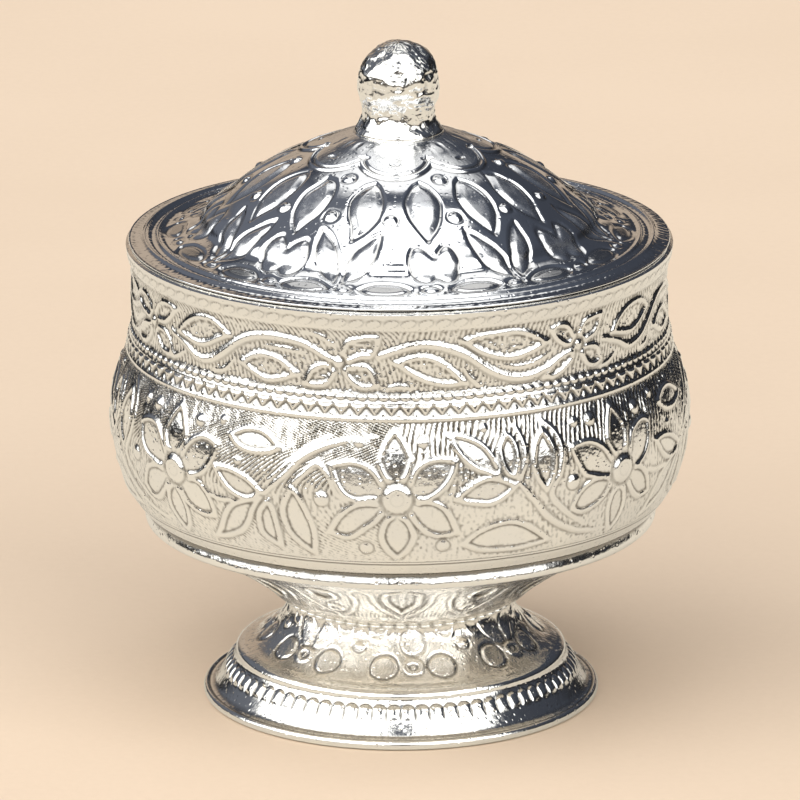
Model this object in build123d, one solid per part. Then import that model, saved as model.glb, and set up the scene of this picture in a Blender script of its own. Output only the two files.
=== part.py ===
from build123d import *
import math
import os

# Lidded footed bowl of thin stamped sheet.  Frame: origin at the centre of the
# foot's base circle, +Z up.  All sizes in millimetres.

# ---------------------------------------------------------------- driving sizes
sheet_t = 0.8          # embossed sheet, measured over the relief
overall_height = 74.4  # foot land to the crown of the knob
base_radius = 22.0     # rolled rim of the foot
land_in, land_out = 20.8, 21.65   # flat ring the box stands on
belly_radius = 32.33   # widest circle of the bowl
casing_edge_r, casing_edge_z = 28.2, 20.5   # lower edge of the embossed casing
neck_radius = 29.7     # near-vertical neck below the rim
rim_radius, rim_top = 30.05, 52.0           # curled rim of the mouth
mouth_radius = 28.7    # clear mouth
seat_gap = 0.05        # lid flange above the rim
collar_clear = 0.3     # locating collar to mouth, all round
collar_t, collar_depth = 0.7, 3.4
flange_radius = 29.7   # lid edge
dome_foot_r, dome_foot_z = 22.1, 54.25
boss_r, boss_z = 5.05, 64.1    # seat of the knob on the dome
knob_bulb_r, knob_neck_r = 4.62, 4.12
stud_r = 1.5           # M3 stud of the knob
screw_r = 2.0          # M4 clamp screw of the foot
waist_r = 13.1         # beaded collar between bowl and foot
waist_low, waist_high = 10.9, 11.6
lap_r = 27.4           # casing and bottom dish lap here
lap_top = 22.0

os.makedirs("parts", exist_ok=True)


def normals_offset(pts, dist):
    """Points moved by dist to the right of the direction of travel."""
    out = []
    for i, (r, z) in enumerate(pts):
        a = pts[max(i - 1, 0)]
        b = pts[min(i + 1, len(pts) - 1)]
        dr, dz = b[0] - a[0], b[1] - a[1]
        n = math.hypot(dr, dz)
        out.append((r + dz / n * dist, z - dr / n * dist))
    return out


def v(p):
    return Vector(p[0], 0, p[1])


def turned(runs):
    """Solid of revolution.  runs is a closed chain: each run is ('L', pts) for
    straight pieces or ('S', pts) for one smooth curve through its points; each
    run starts where the one before it ends."""
    edges = []
    for kind, pts in runs:
        if kind == "S":
            edges.append(Spline(*[v(p) for p in pts]))
        else:
            for a, b in zip(pts[:-1], pts[1:]):
                edges.append(Line(v(a), v(b)))
    face = make_face(edges)
    body = revolve(face, Axis.Z, 360)
    solid = body.solids()[0]
    if solid.volume < 0:
        solid = Solid(solid.wrapped.Reversed())
    return solid


def rod(r, z0, z1):
    return Solid.make_cylinder(r, z1 - z0, Plane.XY.offset(z0))


def tube(r_out, r_in, z0, z1):
    return rod(r_out, z0, z1) - rod(r_in, z0 - 1, z1 + 1)


def one(shape):
    found = shape.solids()
    assert len(found) == 1, len(found)
    return found[0]


def save(shape, name):
    shape.label = name
    export_step(shape, os.path.join("parts", name + ".step"))
    print("%-16s %9.2f mm3" % (name, shape.volume))


# ---------------------------------------------------------------- bowl casing
# Embossed casing: lower edge, belly, neck and curled rim, listed from the lower
# edge upwards on the outside, then back down on the inside.
belly = [
    (casing_edge_r, casing_edge_z + 0.25), (28.62, 21.45), (29.05, 22.2),
    (29.72, 23.1), (30.3, 24.0), (31.1, 26.0), (31.72, 28.0), (32.14, 30.0),
    (belly_radius, 32.4), (32.18, 34.4), (31.85, 36.2), (31.25, 38.1),
    (30.42, 40.1), (29.95, 41.6), (29.74, 42.8), (neck_radius, 44.2),
    (neck_radius - 0.02, 46.5), (neck_radius - 0.02, 48.6), (29.78, 49.9),
]
rim_curl = [(29.78, 49.9), (rim_radius - 0.02, 50.7), (rim_radius, 51.2), (29.9, 51.75), (29.5, rim_top)]
belly_in = normals_offset(belly, -sheet_t)          # inside of the sheet
belly_in = [p for p in belly_in if p[1] > 22.6]
inside_top = (mouth_radius, 49.6)
casing = turned([
    ("L", [(lap_r, casing_edge_z - 0.05), (casing_edge_r - 0.25, casing_edge_z - 0.05), belly[0]]),
    ("S", belly),
    ("S", rim_curl),
    ("L", [rim_curl[-1], (mouth_radius + 0.1, rim_top)]),
    ("S", [(mouth_radius + 0.1, rim_top), (mouth_radius, rim_top - 0.4), inside_top]),
    ("L", [inside_top, (belly_in[-2][0], 48.4)]),
    ("S", [(belly_in[-2][0], 48.4)] + belly_in[:-2][::-1]),
    ("L", [belly_in[0], (lap_r, lap_top), (lap_r, casing_edge_z - 0.05)]),
])
save(casing, "bowl_casing")

# ---------------------------------------------------------------- bowl dish
# Bottom dish: a lip soldered into the casing, a flared underside and a flat
# centre that the foot screw clamps.
dish_out = [
    (26.95, 19.95), (25.9, 19.45), (24.95, 19.0), (22.86, 18.0), (20.98, 17.0),
    (19.39, 16.0), (18.02, 15.0), (16.8, 14.0), (15.5, 13.0), (14.35, 12.15), (13.3, waist_high),
]
dish_in = normals_offset(dish_out, sheet_t)
dish_in[-1] = (12.75, waist_high + sheet_t)
lip_in = lap_r - 0.7
dish_in[0] = (lip_in, 20.85)
dish = turned([
    ("L", [(screw_r + 0.15, waist_high), (13.3, waist_high)]),
    ("S", dish_out[::-1]),
    ("L", [dish_out[0], (lap_r, 20.25), (lap_r, lap_top), (lip_in, lap_top), dish_in[0]]),
    ("S", dish_in),
    ("L", [dish_in[-1], (screw_r + 0.15, waist_high + sheet_t), (screw_r + 0.15, waist_high)]),
])
save(dish, "bowl_dish")

# ---------------------------------------------------------------- waist collar
bead = (waist_high - waist_low) / 2
zc = (waist_high + waist_low) / 2
collar = turned([
    ("L", [(screw_r + 0.15, waist_low), (waist_r - bead, waist_low)]),
    ("S", [(waist_r - bead, waist_low), (waist_r - bead * 0.2, zc - bead * 0.6), (waist_r, zc),
           (waist_r - bead * 0.2, zc + bead * 0.6), (waist_r - bead, waist_high)]),
    ("L", [(waist_r - bead, waist_high), (screw_r + 0.15, waist_high), (screw_r + 0.15, waist_low)]),
])
save(collar, "waist_collar")

# ---------------------------------------------------------------- foot
skirt = [(21.35, 1.42), (20.66, 2.05), (19.85, 3.0), (19.0, 4.0), (18.5, 4.72)]
step_ring = [(18.5, 4.72), (18.42, 5.05), (18.2, 5.38), (17.85, 5.62), (17.35, 5.78)]
crown = [(17.35, 5.78), (16.55, 6.1), (15.72, 6.6), (15.0, 7.18), (14.3, 7.86), (13.6, 8.65),
         (13.0, 9.5), (12.6, 10.3), (12.45, waist_low)]
foot_in = [
    (11.6, waist_low - sheet_t), (12.1, 9.3), (12.75, 8.35), (13.45, 7.45), (14.2, 6.7),
    (15.0, 6.05), (15.95, 5.45), (16.95, 5.05), (17.55, 4.6), (18.2, 3.55), (19.2, 2.3),
    (20.1, 1.3),
]
foot = turned([
    ("L", [(land_out, 0), (land_in, 0)]),
    ("S", [(land_in, 0), (20.45, 0.35), (20.1, 1.3)]),
    ("S", foot_in[::-1]),
    ("L", [foot_in[0], (screw_r + 0.15, waist_low - sheet_t), (screw_r + 0.15, waist_low), (12.45, waist_low)]),
    ("S", crown[::-1]),
    ("S", step_ring[::-1]),
    ("S", skirt[::-1]),
    ("S", [(21.35, 1.42), (21.72, 1.2), (21.95, 0.85), (base_radius, 0.5), (21.9, 0.18), (land_out, 0)]),
])
save(foot, "foot_bell")

# ---------------------------------------------------------------- foot clamp
head_h, head_r = 2.0, 3.7
floor_z = waist_high + sheet_t
screw = rod(screw_r, 4.9, floor_z) + rod(head_r, floor_z, floor_z + head_h)
screw = one(screw)
rim = screw.edges().filter_by(GeomType.CIRCLE).filter_by(lambda e: abs(e.center().Z - floor_z - head_h) < 1e-6)
screw = one(screw.fillet(0.8, rim))
slot = Solid.make_box(10, 0.9, 1.0, Plane((-5, -0.45, floor_z + head_h - 0.9)))
screw = one(screw - slot)
save(screw, "foot_screw")

washer_t = 0.8
save(one(tube(4.5, screw_r + 0.15, waist_low - sheet_t - washer_t, waist_low - sheet_t)), "foot_washer")


def hex_nut(across_flats, height, bore, z_top):
    prism = extrude(Plane.XY.offset(z_top - height) * RegularPolygon(across_flats / 2, 6, major_radius=False), height)
    nut = one(prism - rod(bore, z_top - height - 1, z_top + 1))
    cone = Solid.make_cone(across_flats / 2 - 0.05 + height, across_flats / 2 - 0.05, height, Plane.XY.offset(z_top - height))
    flip = Solid.make_cone(across_flats / 2 - 0.05, across_flats / 2 - 0.05 + height, height, Plane.XY.offset(z_top - height))
    nut = one(nut & cone)
    return one(nut & flip)


save(hex_nut(7.0, 3.2, screw_r + 0.02, waist_low - sheet_t - washer_t), "foot_nut")

# ---------------------------------------------------------------- lid
lid_low = rim_top + seat_gap
dome = [
    (dome_foot_r, dome_foot_z), (21.5, 55.15), (20.65, 56.0), (19.25, 57.0), (18.05, 58.0),
    (16.72, 59.0), (15.2, 60.0), (13.3, 61.0), (10.75, 62.0), (8.1, 63.0), (6.2, 63.75),
    (boss_r, boss_z),
]
ring_slope = [(25.4, 52.98), (24.6, 53.2), (23.4, 53.7), (22.7, 53.95), (dome_foot_r, dome_foot_z)]
lid_t = 0.7
under = [
    (24.7, lid_low), (23.5, 52.75), (22.3, 53.4), (21.35, 54.15), (20.6, 55.15), (19.9, 55.65),
    (18.65, 56.55), (17.5, 57.5), (16.25, 58.4), (14.8, 59.35), (13.0, 60.3), (10.55, 61.25), (7.9, 62.25),
    (5.9, 63.0), (4.6, boss_z - 0.75),
]
lid = turned([
    ("L", [(24.7, lid_low), (flange_radius - 0.1, lid_low), (flange_radius, lid_low + 0.12),
           (flange_radius, 52.32), (flange_radius - 0.12, 52.42), (28.3, 52.62)]),
    ("S", [(28.3, 52.62), (28.1, 52.8), (27.88, 52.9), (27.7, 52.8), (27.6, 52.62)]),
    ("L", [(27.6, 52.62), (26.8, 52.62)]),
    ("S", [(26.8, 52.62), (26.7, 52.85), (26.5, 52.97), (26.3, 52.93), (26.1, 52.86)]),
    ("L", [(26.1, 52.86), (25.4, 52.98)]),
    ("S", ring_slope),
    ("S", dome),
    ("L", [(boss_r, boss_z), (stud_r + 0.2, boss_z), (stud_r + 0.2, boss_z - 0.75), (4.6, boss_z - 0.75)]),
    ("S", under[::-1]),
])
save(lid, "lid_shell")

collar_r = mouth_radius - collar_clear
lid_collar = turned([
    ("L", [(collar_r, lid_low), (collar_r, lid_low - collar_depth + 0.5)]),
    ("S", [(collar_r, lid_low - collar_depth + 0.5), (collar_r - 0.12, lid_low - collar_depth + 0.12),
           (collar_r - 0.35, lid_low - collar_depth)]),
    ("L", [(collar_r - 0.35, lid_low - collar_depth), (collar_r - collar_t, lid_low - collar_depth),
           (collar_r - collar_t, lid_low), (collar_r, lid_low)]),
])
save(lid_collar, "lid_collar")

# ---------------------------------------------------------------- knob
knob_out = [
    (boss_r - 0.02, boss_z + 0.2), (4.93, 64.55), (4.6, 65.05), (4.35, 65.55), (4.16, 66.15),
    (knob_neck_r, 66.7), (4.24, 67.45), (4.42, 68.1), (4.57, 68.9), (knob_bulb_r, 69.8), (4.58, 70.6),
    (4.4, 71.35), (4.05, 72.1), (3.55, 72.85), (2.8, 73.55), (1.85, 74.08), (0.9, 74.34), (0, overall_height),
]
plug_r, plug_top = 3.2, 65.7
knob = turned([
    ("L", [(plug_r, boss_z), (boss_r - 0.12, boss_z), knob_out[0]]),
    ("S", knob_out),
    ("L", [(0, overall_height), (0, 73.3)]),
    ("S", [(0, 73.3), (1.6, 72.95), (2.75, 72.1), (3.45, 71.1), (3.68, 69.8), (3.5, 68.4), (3.25, 67.2), (plug_r, 66.4)]),
    ("L", [(plug_r, 66.4), (plug_r, boss_z)]),
])
save(knob, "finial_knob")

stud_low = 60.3
stud = one(rod(plug_r - 0.01, boss_z, plug_top) + rod(stud_r, stud_low, boss_z))
save(stud, "finial_stud")
save(one(tube(3.5, stud_r + 0.1, boss_z - 0.75 - 0.5, boss_z - 0.75)), "finial_washer")
save(hex_nut(5.5, 2.2, stud_r + 0.02, boss_z - 1.25), "finial_nut")
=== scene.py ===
import math
import bpy
import numpy as np
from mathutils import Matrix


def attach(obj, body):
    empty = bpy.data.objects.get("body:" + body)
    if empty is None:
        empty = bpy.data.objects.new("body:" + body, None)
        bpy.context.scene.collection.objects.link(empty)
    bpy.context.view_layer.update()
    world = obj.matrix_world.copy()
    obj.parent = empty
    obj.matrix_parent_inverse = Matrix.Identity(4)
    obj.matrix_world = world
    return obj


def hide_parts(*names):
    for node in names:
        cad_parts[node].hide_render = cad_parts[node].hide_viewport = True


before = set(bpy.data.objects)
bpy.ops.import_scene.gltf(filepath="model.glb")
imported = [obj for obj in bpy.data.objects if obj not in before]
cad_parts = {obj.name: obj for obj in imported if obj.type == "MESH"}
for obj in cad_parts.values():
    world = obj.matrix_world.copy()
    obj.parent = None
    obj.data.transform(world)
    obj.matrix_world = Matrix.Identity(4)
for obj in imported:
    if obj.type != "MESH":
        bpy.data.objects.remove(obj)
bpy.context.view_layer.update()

F = np.float32
PI = math.pi


# ---------------------------------------------------------------- profiles (mm; r outwards, z up)
def catmull(P, n=10, closed=False):
    P = np.asarray(P, float)
    if len(P) < 3 and not closed:
        t = np.linspace(0, 1, n + 1)[:, None]
        return P[0] * (1 - t) + P[-1] * t
    Q = np.vstack([P[-1], P, P[:2]]) if closed else np.vstack([2 * P[0] - P[1], P, 2 * P[-1] - P[-2]])
    out = []
    t = np.linspace(0, 1, n, endpoint=False)[:, None]
    for i in range(1, len(Q) - 2):
        a, b, c, d = Q[i - 1], Q[i], Q[i + 1], Q[i + 2]
        L = max(np.hypot(*(c - b)), 1e-9)
        la, lc = max(np.hypot(*(b - a)), 1e-9), max(np.hypot(*(d - c)), 1e-9)
        m1 = ((c - b) / L * la + (b - a) / la * L) / (L + la) * L
        m2 = ((d - c) / lc * L + (c - b) / L * lc) / (L + lc) * L
        out.append((2 * t**3 - 3 * t**2 + 1) * b + (t**3 - 2 * t**2 + t) * m1 + (3 * t**2 - 2 * t**3) * c + (t**3 - t**2) * m2)
    if not closed:
        out.append(P[-1:])
    return np.vstack(out)


def blur1(a, k, axis=0, wrap=False):
    """Three box passes of half width k along one axis."""
    if k < 1:
        return a
    a = np.moveaxis(np.asarray(a, float), axis, 0)
    for _ in range(3):
        p = np.concatenate([a[-k:], a, a[:k]]) if wrap else np.concatenate([np.repeat(a[:1], k, 0), a, np.repeat(a[-1:], k, 0)])
        c = np.cumsum(np.concatenate([np.zeros_like(p[:1]), p]), 0)
        a = (c[2 * k + 1:] - c[:-2 * k - 1]) / (2 * k + 1)
    return np.moveaxis(a, 0, axis)


class Profile:
    """A smooth curve through (r, z) points, read by arc length."""

    def __init__(self, pts, soft=0.12):
        c = catmull(pts, 24)
        s = np.r_[0, np.cumsum(np.hypot(*np.diff(c, axis=0).T))]
        step = 0.02
        ss = np.arange(0, s[-1], step)
        r, z = np.interp(ss, s, c[:, 0]), np.interp(ss, s, c[:, 1])
        k = int(soft / step / 2)
        e = np.clip(np.minimum(np.arange(len(ss)), np.arange(len(ss))[::-1]) / max(3 * k, 1), 0, 1)
        r, z = r * (1 - e) + blur1(r, k) * e, z * (1 - e) + blur1(z, k) * e
        self.s, self.r, self.z, self.len = ss, r, z, float(ss[-1])
        tr, tz = np.gradient(r), np.gradient(z)
        m = np.hypot(tr, tz)
        self.nr, self.nz = -tz / m, tr / m

    def at(self, s):
        return [np.interp(s, self.s, v) for v in (self.r, self.z, self.nr, self.nz)]

    def s_of_z(self, z):
        return float(np.interp(z, self.z[::-1], self.s[::-1]))


# ---------------------------------------------------------------- seeded smooth noise on a periodic grid
def lattice(seed, ny, nx):
    return np.random.RandomState(seed).rand(ny, nx)


def vnoise(theta_u, v, cells, vscale, seed):
    """Value noise: cells round the turn, vscale cells per mm down the profile."""
    L = lattice(seed, 512, cells)
    x = theta_u * cells
    y = v * vscale + 7.3
    x0 = np.floor(x).astype(int); y0 = np.floor(y).astype(int)
    fx, fy = x - x0, y - y0
    fx, fy = fx * fx * (3 - 2 * fx), fy * fy * (3 - 2 * fy)
    a, b = L[y0 % 512, x0 % cells], L[y0 % 512, (x0 + 1) % cells]
    c, d = L[(y0 + 1) % 512, x0 % cells], L[(y0 + 1) % 512, (x0 + 1) % cells]
    return (a * (1 - fx) + b * fx) * (1 - fy) + (c * (1 - fx) + d * fx) * fy - 0.5


def sstep(a, b, x):
    t = np.clip((x - a) / (b - a), 0, 1)
    return t * t * (3 - 2 * t)


# ---------------------------------------------------------------- relief field
class Field:
    """Heights over a band of a surface of revolution. Shapes are given in degrees round from the front (right is plus)
    and millimetres down the profile."""

    def __init__(self, prof, s0, s1, n, step):
        self.p, self.n = prof, n
        self.m = int(round((s1 - s0) / step)) + 1
        self.s = np.linspace(s0, s1, self.m)
        self.ds = self.s[1] - self.s[0]
        self.s0 = s0
        self.th = np.arange(n) * 360.0 / n          # degrees
        self.r, self.z, self.nr, self.nz = prof.at(self.s)
        self.H = np.zeros((self.m, n))              # raised lines and plateaus
        self.I = np.zeros((self.m, n))              # dished insides
        self.mask = np.zeros((self.m, n))           # 1 on motifs, 0 on the ground
        self.inside = np.zeros((self.m, n))         # 1 inside closed motifs

    def full(self):
        return np.meshgrid(self.s, self.th / 360.0, indexing="ij")

    def window(self, P, pad):
        """Rows, columns and flat local coordinates of the cells near a shape."""
        P = np.asarray(P, float)
        c = 0.5 * (P[:, 0].min() + P[:, 0].max())
        i0 = max(0, int((P[:, 1].min() - pad - self.s0) / self.ds)); i1 = min(self.m, int((P[:, 1].max() + pad - self.s0) / self.ds) + 2)
        if i1 <= i0:
            return None
        rmin = self.r[i0:i1].min()
        half = 0.5 * (P[:, 0].max() - P[:, 0].min()) + math.degrees(pad / rmin)
        j0 = int(math.floor((c - half) / 360 * self.n)); j1 = int(math.ceil((c + half) / 360 * self.n)) + 1
        rows = np.arange(i0, i1)
        cols = np.arange(j0, j1)
        U = np.radians(cols * 360.0 / self.n - c)[None, :] * self.r[rows][:, None]
        V = np.broadcast_to(self.s[rows][:, None], U.shape)
        rr = np.interp(P[:, 1], self.s, self.r)
        Q = np.stack([np.radians(P[:, 0] - c) * rr, P[:, 1]], 1)
        return rows, cols % self.n, U, V, Q

    @staticmethod
    def dist(U, V, Q, closed):
        A, B = (Q, np.roll(Q, -1, 0)) if closed else (Q[:-1], Q[1:])
        D = np.full(U.shape, 1e9); T = np.zeros(U.shape)
        ins = np.zeros(U.shape, bool)
        acc = np.r_[0, np.cumsum(np.hypot(*(B - A).T))]
        for k in range(len(A)):
            ax, ay = A[k]; bx, by = B[k]
            dx, dy = bx - ax, by - ay
            l2 = dx * dx + dy * dy + 1e-12
            t = np.clip(((U - ax) * dx + (V - ay) * dy) / l2, 0, 1)
            d = (U - ax - t * dx)**2 + (V - ay - t * dy)**2
            better = d < D
            D = np.where(better, d, D)
            T = np.where(better, (acc[k] + t * math.sqrt(l2)) / acc[-1], T)
            if closed and abs(dy) > 1e-12:
                ins ^= ((ay > V) != (by > V)) & (U < dx * (V - ay) / dy + ax)
        D = np.sqrt(D)
        return (np.where(ins, -D, D) if closed else D), T

    def put(self, arr, rows, cols, val):
        sub = arr[np.ix_(rows, cols)]
        arr[np.ix_(rows, cols)] = np.maximum(sub, val)

    def cord(self, P, w=0.5, h=0.3, taper=0.0, smooth=True):
        """A raised rounded line, half width w; taper narrows both ends."""
        P = catmull(P, 7) if smooth else np.asarray(P, float)
        got = self.window(P, w + 0.35)
        if got is None:
            return
        rows, cols, U, V, Q = got
        D, T = self.dist(U, V, Q, False)
        k = 1 - taper * np.abs(2 * T - 1)**1.6
        u = np.clip(D / (w * k), 0, 1)
        self.put(self.H, rows, cols, h * (0.35 + 0.65 * k) * (0.5 + 0.5 * np.cos(PI * u)))
        self.put(self.mask, rows, cols, 1 - sstep(w * k * 0.85, w * k + 0.22, D))

    def loop(self, a, b=None):
        """A closed outline from two sides that meet in two tips."""
        if b is None:
            return catmull(a, 7, closed=True)
        s1, s2 = catmull(a, 7), catmull([a[-1]] + list(b) + [a[0]], 7)
        return np.vstack([s1[:-1], s2[:-1]])

    def leaf(self, a, b=None, w=0.48, h=0.3, dish=0.1, rib=None, ribh=0.1):
        """A closed raised outline, its line just inside the shape, round a dished inside."""
        P = self.loop(a, b)
        rows, cols, U, V, Q = self.window(P, w + 0.4)
        D, _ = self.dist(U, V, Q, True)
        E = D + w * 0.55
        u = np.clip(np.abs(E) / w, 0, 1)
        self.put(self.H, rows, cols, h * (0.5 + 0.5 * np.cos(PI * u)))
        self.put(self.mask, rows, cols, 1 - sstep(w * 0.4, w * 0.4 + 0.22, D))
        deep = sstep(0, 1.1, -E - w * 0.4)
        self.put(self.I, rows, cols, dish * deep)
        self.put(self.inside, rows, cols, sstep(w * 0.5, w * 0.9, -E))
        if rib is not None:
            self.cord(rib, 0.22, ribh, 0.7)

    def plateau(self, a, b=None, p=0.12, g=0.26, wi=0.85, wo=0.3, crown=0.0, grow=0.0):
        """A raised pad with a wide soft bevel, and a narrow groove round it."""
        P = self.loop(a, b)
        rows, cols, U, V, Q = self.window(P, wo + 0.5)
        D, _ = self.dist(U, V, Q, True)
        D = D - grow
        t = np.clip(-D / wi, 0, 1)
        ins = -g + (p + g) * t + crown * sstep(0.5, 2.2, -D)
        outs = -g * (0.5 + 0.5 * np.cos(PI * np.clip(D / wo, 0, 1)))
        val = np.where(D < 0, ins, outs)
        near = D < wo
        sub = self.H[np.ix_(rows, cols)]
        self.H[np.ix_(rows, cols)] = np.where(near, np.where(D < 0, val, np.minimum(sub, val)), sub)
        self.put(self.mask, rows, cols, 1 - sstep(wo * 0.6, wo + 0.15, D))
        self.put(self.inside, rows, cols, sstep(0.1, wi, -D))

    def bead(self, c, s, r=0.7, h=0.28, ring=True, rs=None, g=0.16):
        """A small dome, with a raised ring round it or a fine groove."""
        rs = rs or r
        P = np.array([[c - 0.01, s - 0.01], [c + 0.01, s + 0.01]])
        rows, cols, U, V, Q = self.window(P, max(r, rs) + 0.6)
        rho = np.hypot(U / r, (V - s) / rs)
        if ring:
            val = h * (0.5 + 0.5 * np.cos(PI * np.clip(np.abs(rho - 0.78) / 0.42, 0, 1)))
            val = np.maximum(val, h * 0.85 * (0.5 + 0.5 * np.cos(PI * np.clip(rho / 0.36, 0, 1))))
            self.put(self.H, rows, cols, val)
        else:
            dome = h * np.sqrt(np.clip(1 - rho**2, 0, 1))**1.2
            q = (rho - 1) * min(r, rs)
            val = np.where(rho < 1, dome - g * np.exp(-(q / 0.14)**2), -g * np.exp(-(q / 0.14)**2))
            near = rho < 1.6
            sub = self.H[np.ix_(rows, cols)]
            self.H[np.ix_(rows, cols)] = np.where(near, np.where(rho < 1, val, np.minimum(sub, val)), sub)
        self.put(self.mask, rows, cols, 1 - sstep(1.0, 1.0 + 0.25 / r, rho))


# ---------------------------------------------------------------- meshes
def ring_points(f, off, rows=None):
    """Grid points of a field with the offset along the outward normal, in metres."""
    rows = np.arange(f.m) if rows is None else rows
    a = np.radians(f.th)[None, :]
    o = off[rows]
    r = f.r[rows][:, None] + o * f.nr[rows][:, None]
    z = f.z[rows][:, None] + o * f.nz[rows][:, None]
    return np.stack([r * np.sin(a), -r * np.cos(a), z], -1) * 0.001


def turned(pts, n):
    """Plain rings of (r, z) points."""
    a = (np.arange(n) * 2 * PI / n)[None, :]
    p = np.asarray(pts, float)
    r, z = p[:, 0][:, None], p[:, 1][:, None]
    return np.stack([r * np.sin(a), -r * np.cos(a), z + 0 * a], -1) * 0.001


def grid_mesh(name, pts, shade_cav=None, closed=True, sharp=50, caps=(), pad=None):
    """A quad mesh of rings. closed joins the last ring to the first; caps closes the first or last ring with a fan."""
    m, n = pts.shape[:2]
    me = bpy.data.meshes.new(name)
    co = pts.reshape(-1, 3)
    mi = m if closed else m - 1
    i, j = np.meshgrid(np.arange(mi), np.arange(n), indexing="ij")
    i2, j2 = (i + 1) % m, (j + 1) % n
    quads = np.stack([i * n + j, i2 * n + j, i2 * n + j2, i * n + j2], -1).reshape(-1, 4)
    uv = np.stack([np.stack([j / n, i / mi], -1), np.stack([j / n, (i + 1) / mi], -1),
                   np.stack([(j + 1) / n, (i + 1) / mi], -1), np.stack([(j + 1) / n, i / mi], -1)], 2).reshape(-1, 2)
    uv = uv * 0.998 + 0.001
    starts = np.arange(len(quads)) * 4
    loops = quads.ravel()
    extra, uvx, sx = [], [], []
    if "first" in caps or "last" in caps:
        add = []
        base = len(co)
        for which in ("first", "last"):
            if which in caps:
                ring = pts[0] if which == "first" else pts[-1]
                add.append(ring.mean(0))
                k = base + len(add) - 1
                off = 0 if which == "first" else (m - 1) * n
                jj = np.arange(n); jn = (jj + 1) % n
                tri = np.stack([np.full(n, k), off + jj, off + jn], 1) if which == "first" else np.stack([np.full(n, k), off + jn, off + jj], 1)
                v = 0.0005 if which == "first" else 0.9995
                edge = 0.001 if which == "first" else 0.999
                a, b = jj / n * 0.998 + 0.001, (jj + 1) / n * 0.998 + 0.001
                if which == "last":
                    a, b = b, a
                u3 = np.stack([np.stack([(a + b) / 2, np.full(n, v)], 1), np.stack([a, np.full(n, edge)], 1), np.stack([b, np.full(n, edge)], 1)], 1)
                extra.append(tri); uvx.append(u3.reshape(-1, 2))
        co = np.vstack([co, np.array(add)])
        t = np.vstack(extra)
        sx = len(loops) + np.arange(len(t)) * 3
        loops = np.r_[loops, t.ravel()]
        starts = np.r_[starts, sx]
        uv = np.vstack([uv] + uvx)
    me.vertices.add(len(co)); me.vertices.foreach_set("co", co.astype(F).ravel())
    me.loops.add(len(loops)); me.loops.foreach_set("vertex_index", loops.astype(np.int32))
    me.polygons.add(len(starts)); me.polygons.foreach_set("loop_start", starts.astype(np.int32))
    me.update(calc_edges=True)
    layer = me.uv_layers.new(name="OFBake", do_init=False)
    layer.uv.foreach_set("vector", uv.astype(F).ravel())
    # the cavity value that the silver materials turn into painted shade in the recesses, with some tarnish
    att = me.attributes.new("shade_cav", "FLOAT", "POINT")
    c = np.zeros(len(co)) if shade_cav is None else np.r_[np.asarray(shade_cav).ravel(), np.zeros(len(co) - np.asarray(shade_cav).size)]
    att.data.foreach_set("value", c.astype(F))
    att = me.attributes.new("pad", "FLOAT", "POINT")
    c = np.zeros(len(co))
    if pad is not None:
        c[:pad.size] = pad.ravel()
    att.data.foreach_set("value", c.astype(F))
    me.shade_smooth()
    me.set_sharp_from_angle(angle=math.radians(sharp))
    me.validate()
    ob = bpy.data.objects.new(name, me)
    bpy.context.scene.collection.objects.link(ob)
    return ob


def cavity(h, f, mm=0.35, k=36):
    """How deep each cell lies below its surroundings, 0 to 1; the materials darken these recesses by it: painted shade,
    with some tarnish.
    """
    ki = max(1, int(mm / f.ds / 2)); kj = max(1, int(mm / (f.r.mean() * 2 * PI / f.n) / 2))
    b = blur1(blur1(h, ki, 0), kj, 1, True)
    return np.clip((b - h) * k - 0.15, 0, 1)**0.8


def wobble(a, f, S, TU, amp=0.1, seed=7):
    """Shifts a field by a slow seeded drift, so no line is ruled."""
    dv = amp * 2 * vnoise(TU, S, 72, 0.45, seed) / f.ds
    du = amp * 2 * vnoise(TU, S, 72, 0.45, seed + 1) / (2 * PI * f.r[:, None] / f.n)
    i, j = np.meshgrid(np.arange(f.m), np.arange(f.n), indexing="ij")
    y = np.clip(i + dv, 0, f.m - 1.001); x = j + du
    y0 = np.floor(y).astype(int); x0 = np.floor(x).astype(int)
    fy, fx = y - y0, x - x0
    y1 = np.minimum(y0 + 1, f.m - 1); x1 = (x0 + 1) % f.n; x0 = x0 % f.n
    return (a[y0, x0] * (1 - fx) + a[y0, x1] * fx) * (1 - fy) + (a[y1, x0] * (1 - fx) + a[y1, x1] * fx) * fy


def soften(a, k=1):
    return blur1(blur1(a, k, 0), k, 1, True) if k else a


# ---------------------------------------------------------------- material nodes
class G:
    """Short hand for math on node sockets."""

    def __init__(self, nt, sock):
        self.nt, self.o = nt, sock

    def op(self, kind, *args, clamp=False):
        n = self.nt.nodes.new("ShaderNodeMath"); n.operation = kind; n.use_clamp = clamp
        for k, v in enumerate((self,) + args):
            if isinstance(v, G):
                self.nt.links.new(v.o, n.inputs[k])
            else:
                n.inputs[k].default_value = v
        return G(self.nt, n.outputs[0])

    def __add__(self, b): return self.op("ADD", b)
    def __sub__(self, b): return self.op("SUBTRACT", b)
    def __mul__(self, b): return self.op("MULTIPLY", b)
    __radd__, __rmul__ = __add__, __mul__

    def inv(self):
        n = self.nt.nodes.new("ShaderNodeMath"); n.operation = "SUBTRACT"; n.inputs[0].default_value = 1.0
        self.nt.links.new(self.o, n.inputs[1])
        return G(self.nt, n.outputs[0])

    def ss(self, a, b, lo=0.0, hi=1.0, kind="SMOOTHSTEP"):
        n = self.nt.nodes.new("ShaderNodeMapRange"); n.interpolation_type = kind
        self.nt.links.new(self.o, n.inputs["Value"])
        n.inputs["From Min"].default_value = a; n.inputs["From Max"].default_value = b
        n.inputs["To Min"].default_value = lo; n.inputs["To Max"].default_value = hi
        return G(self.nt, n.outputs[0])


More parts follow.
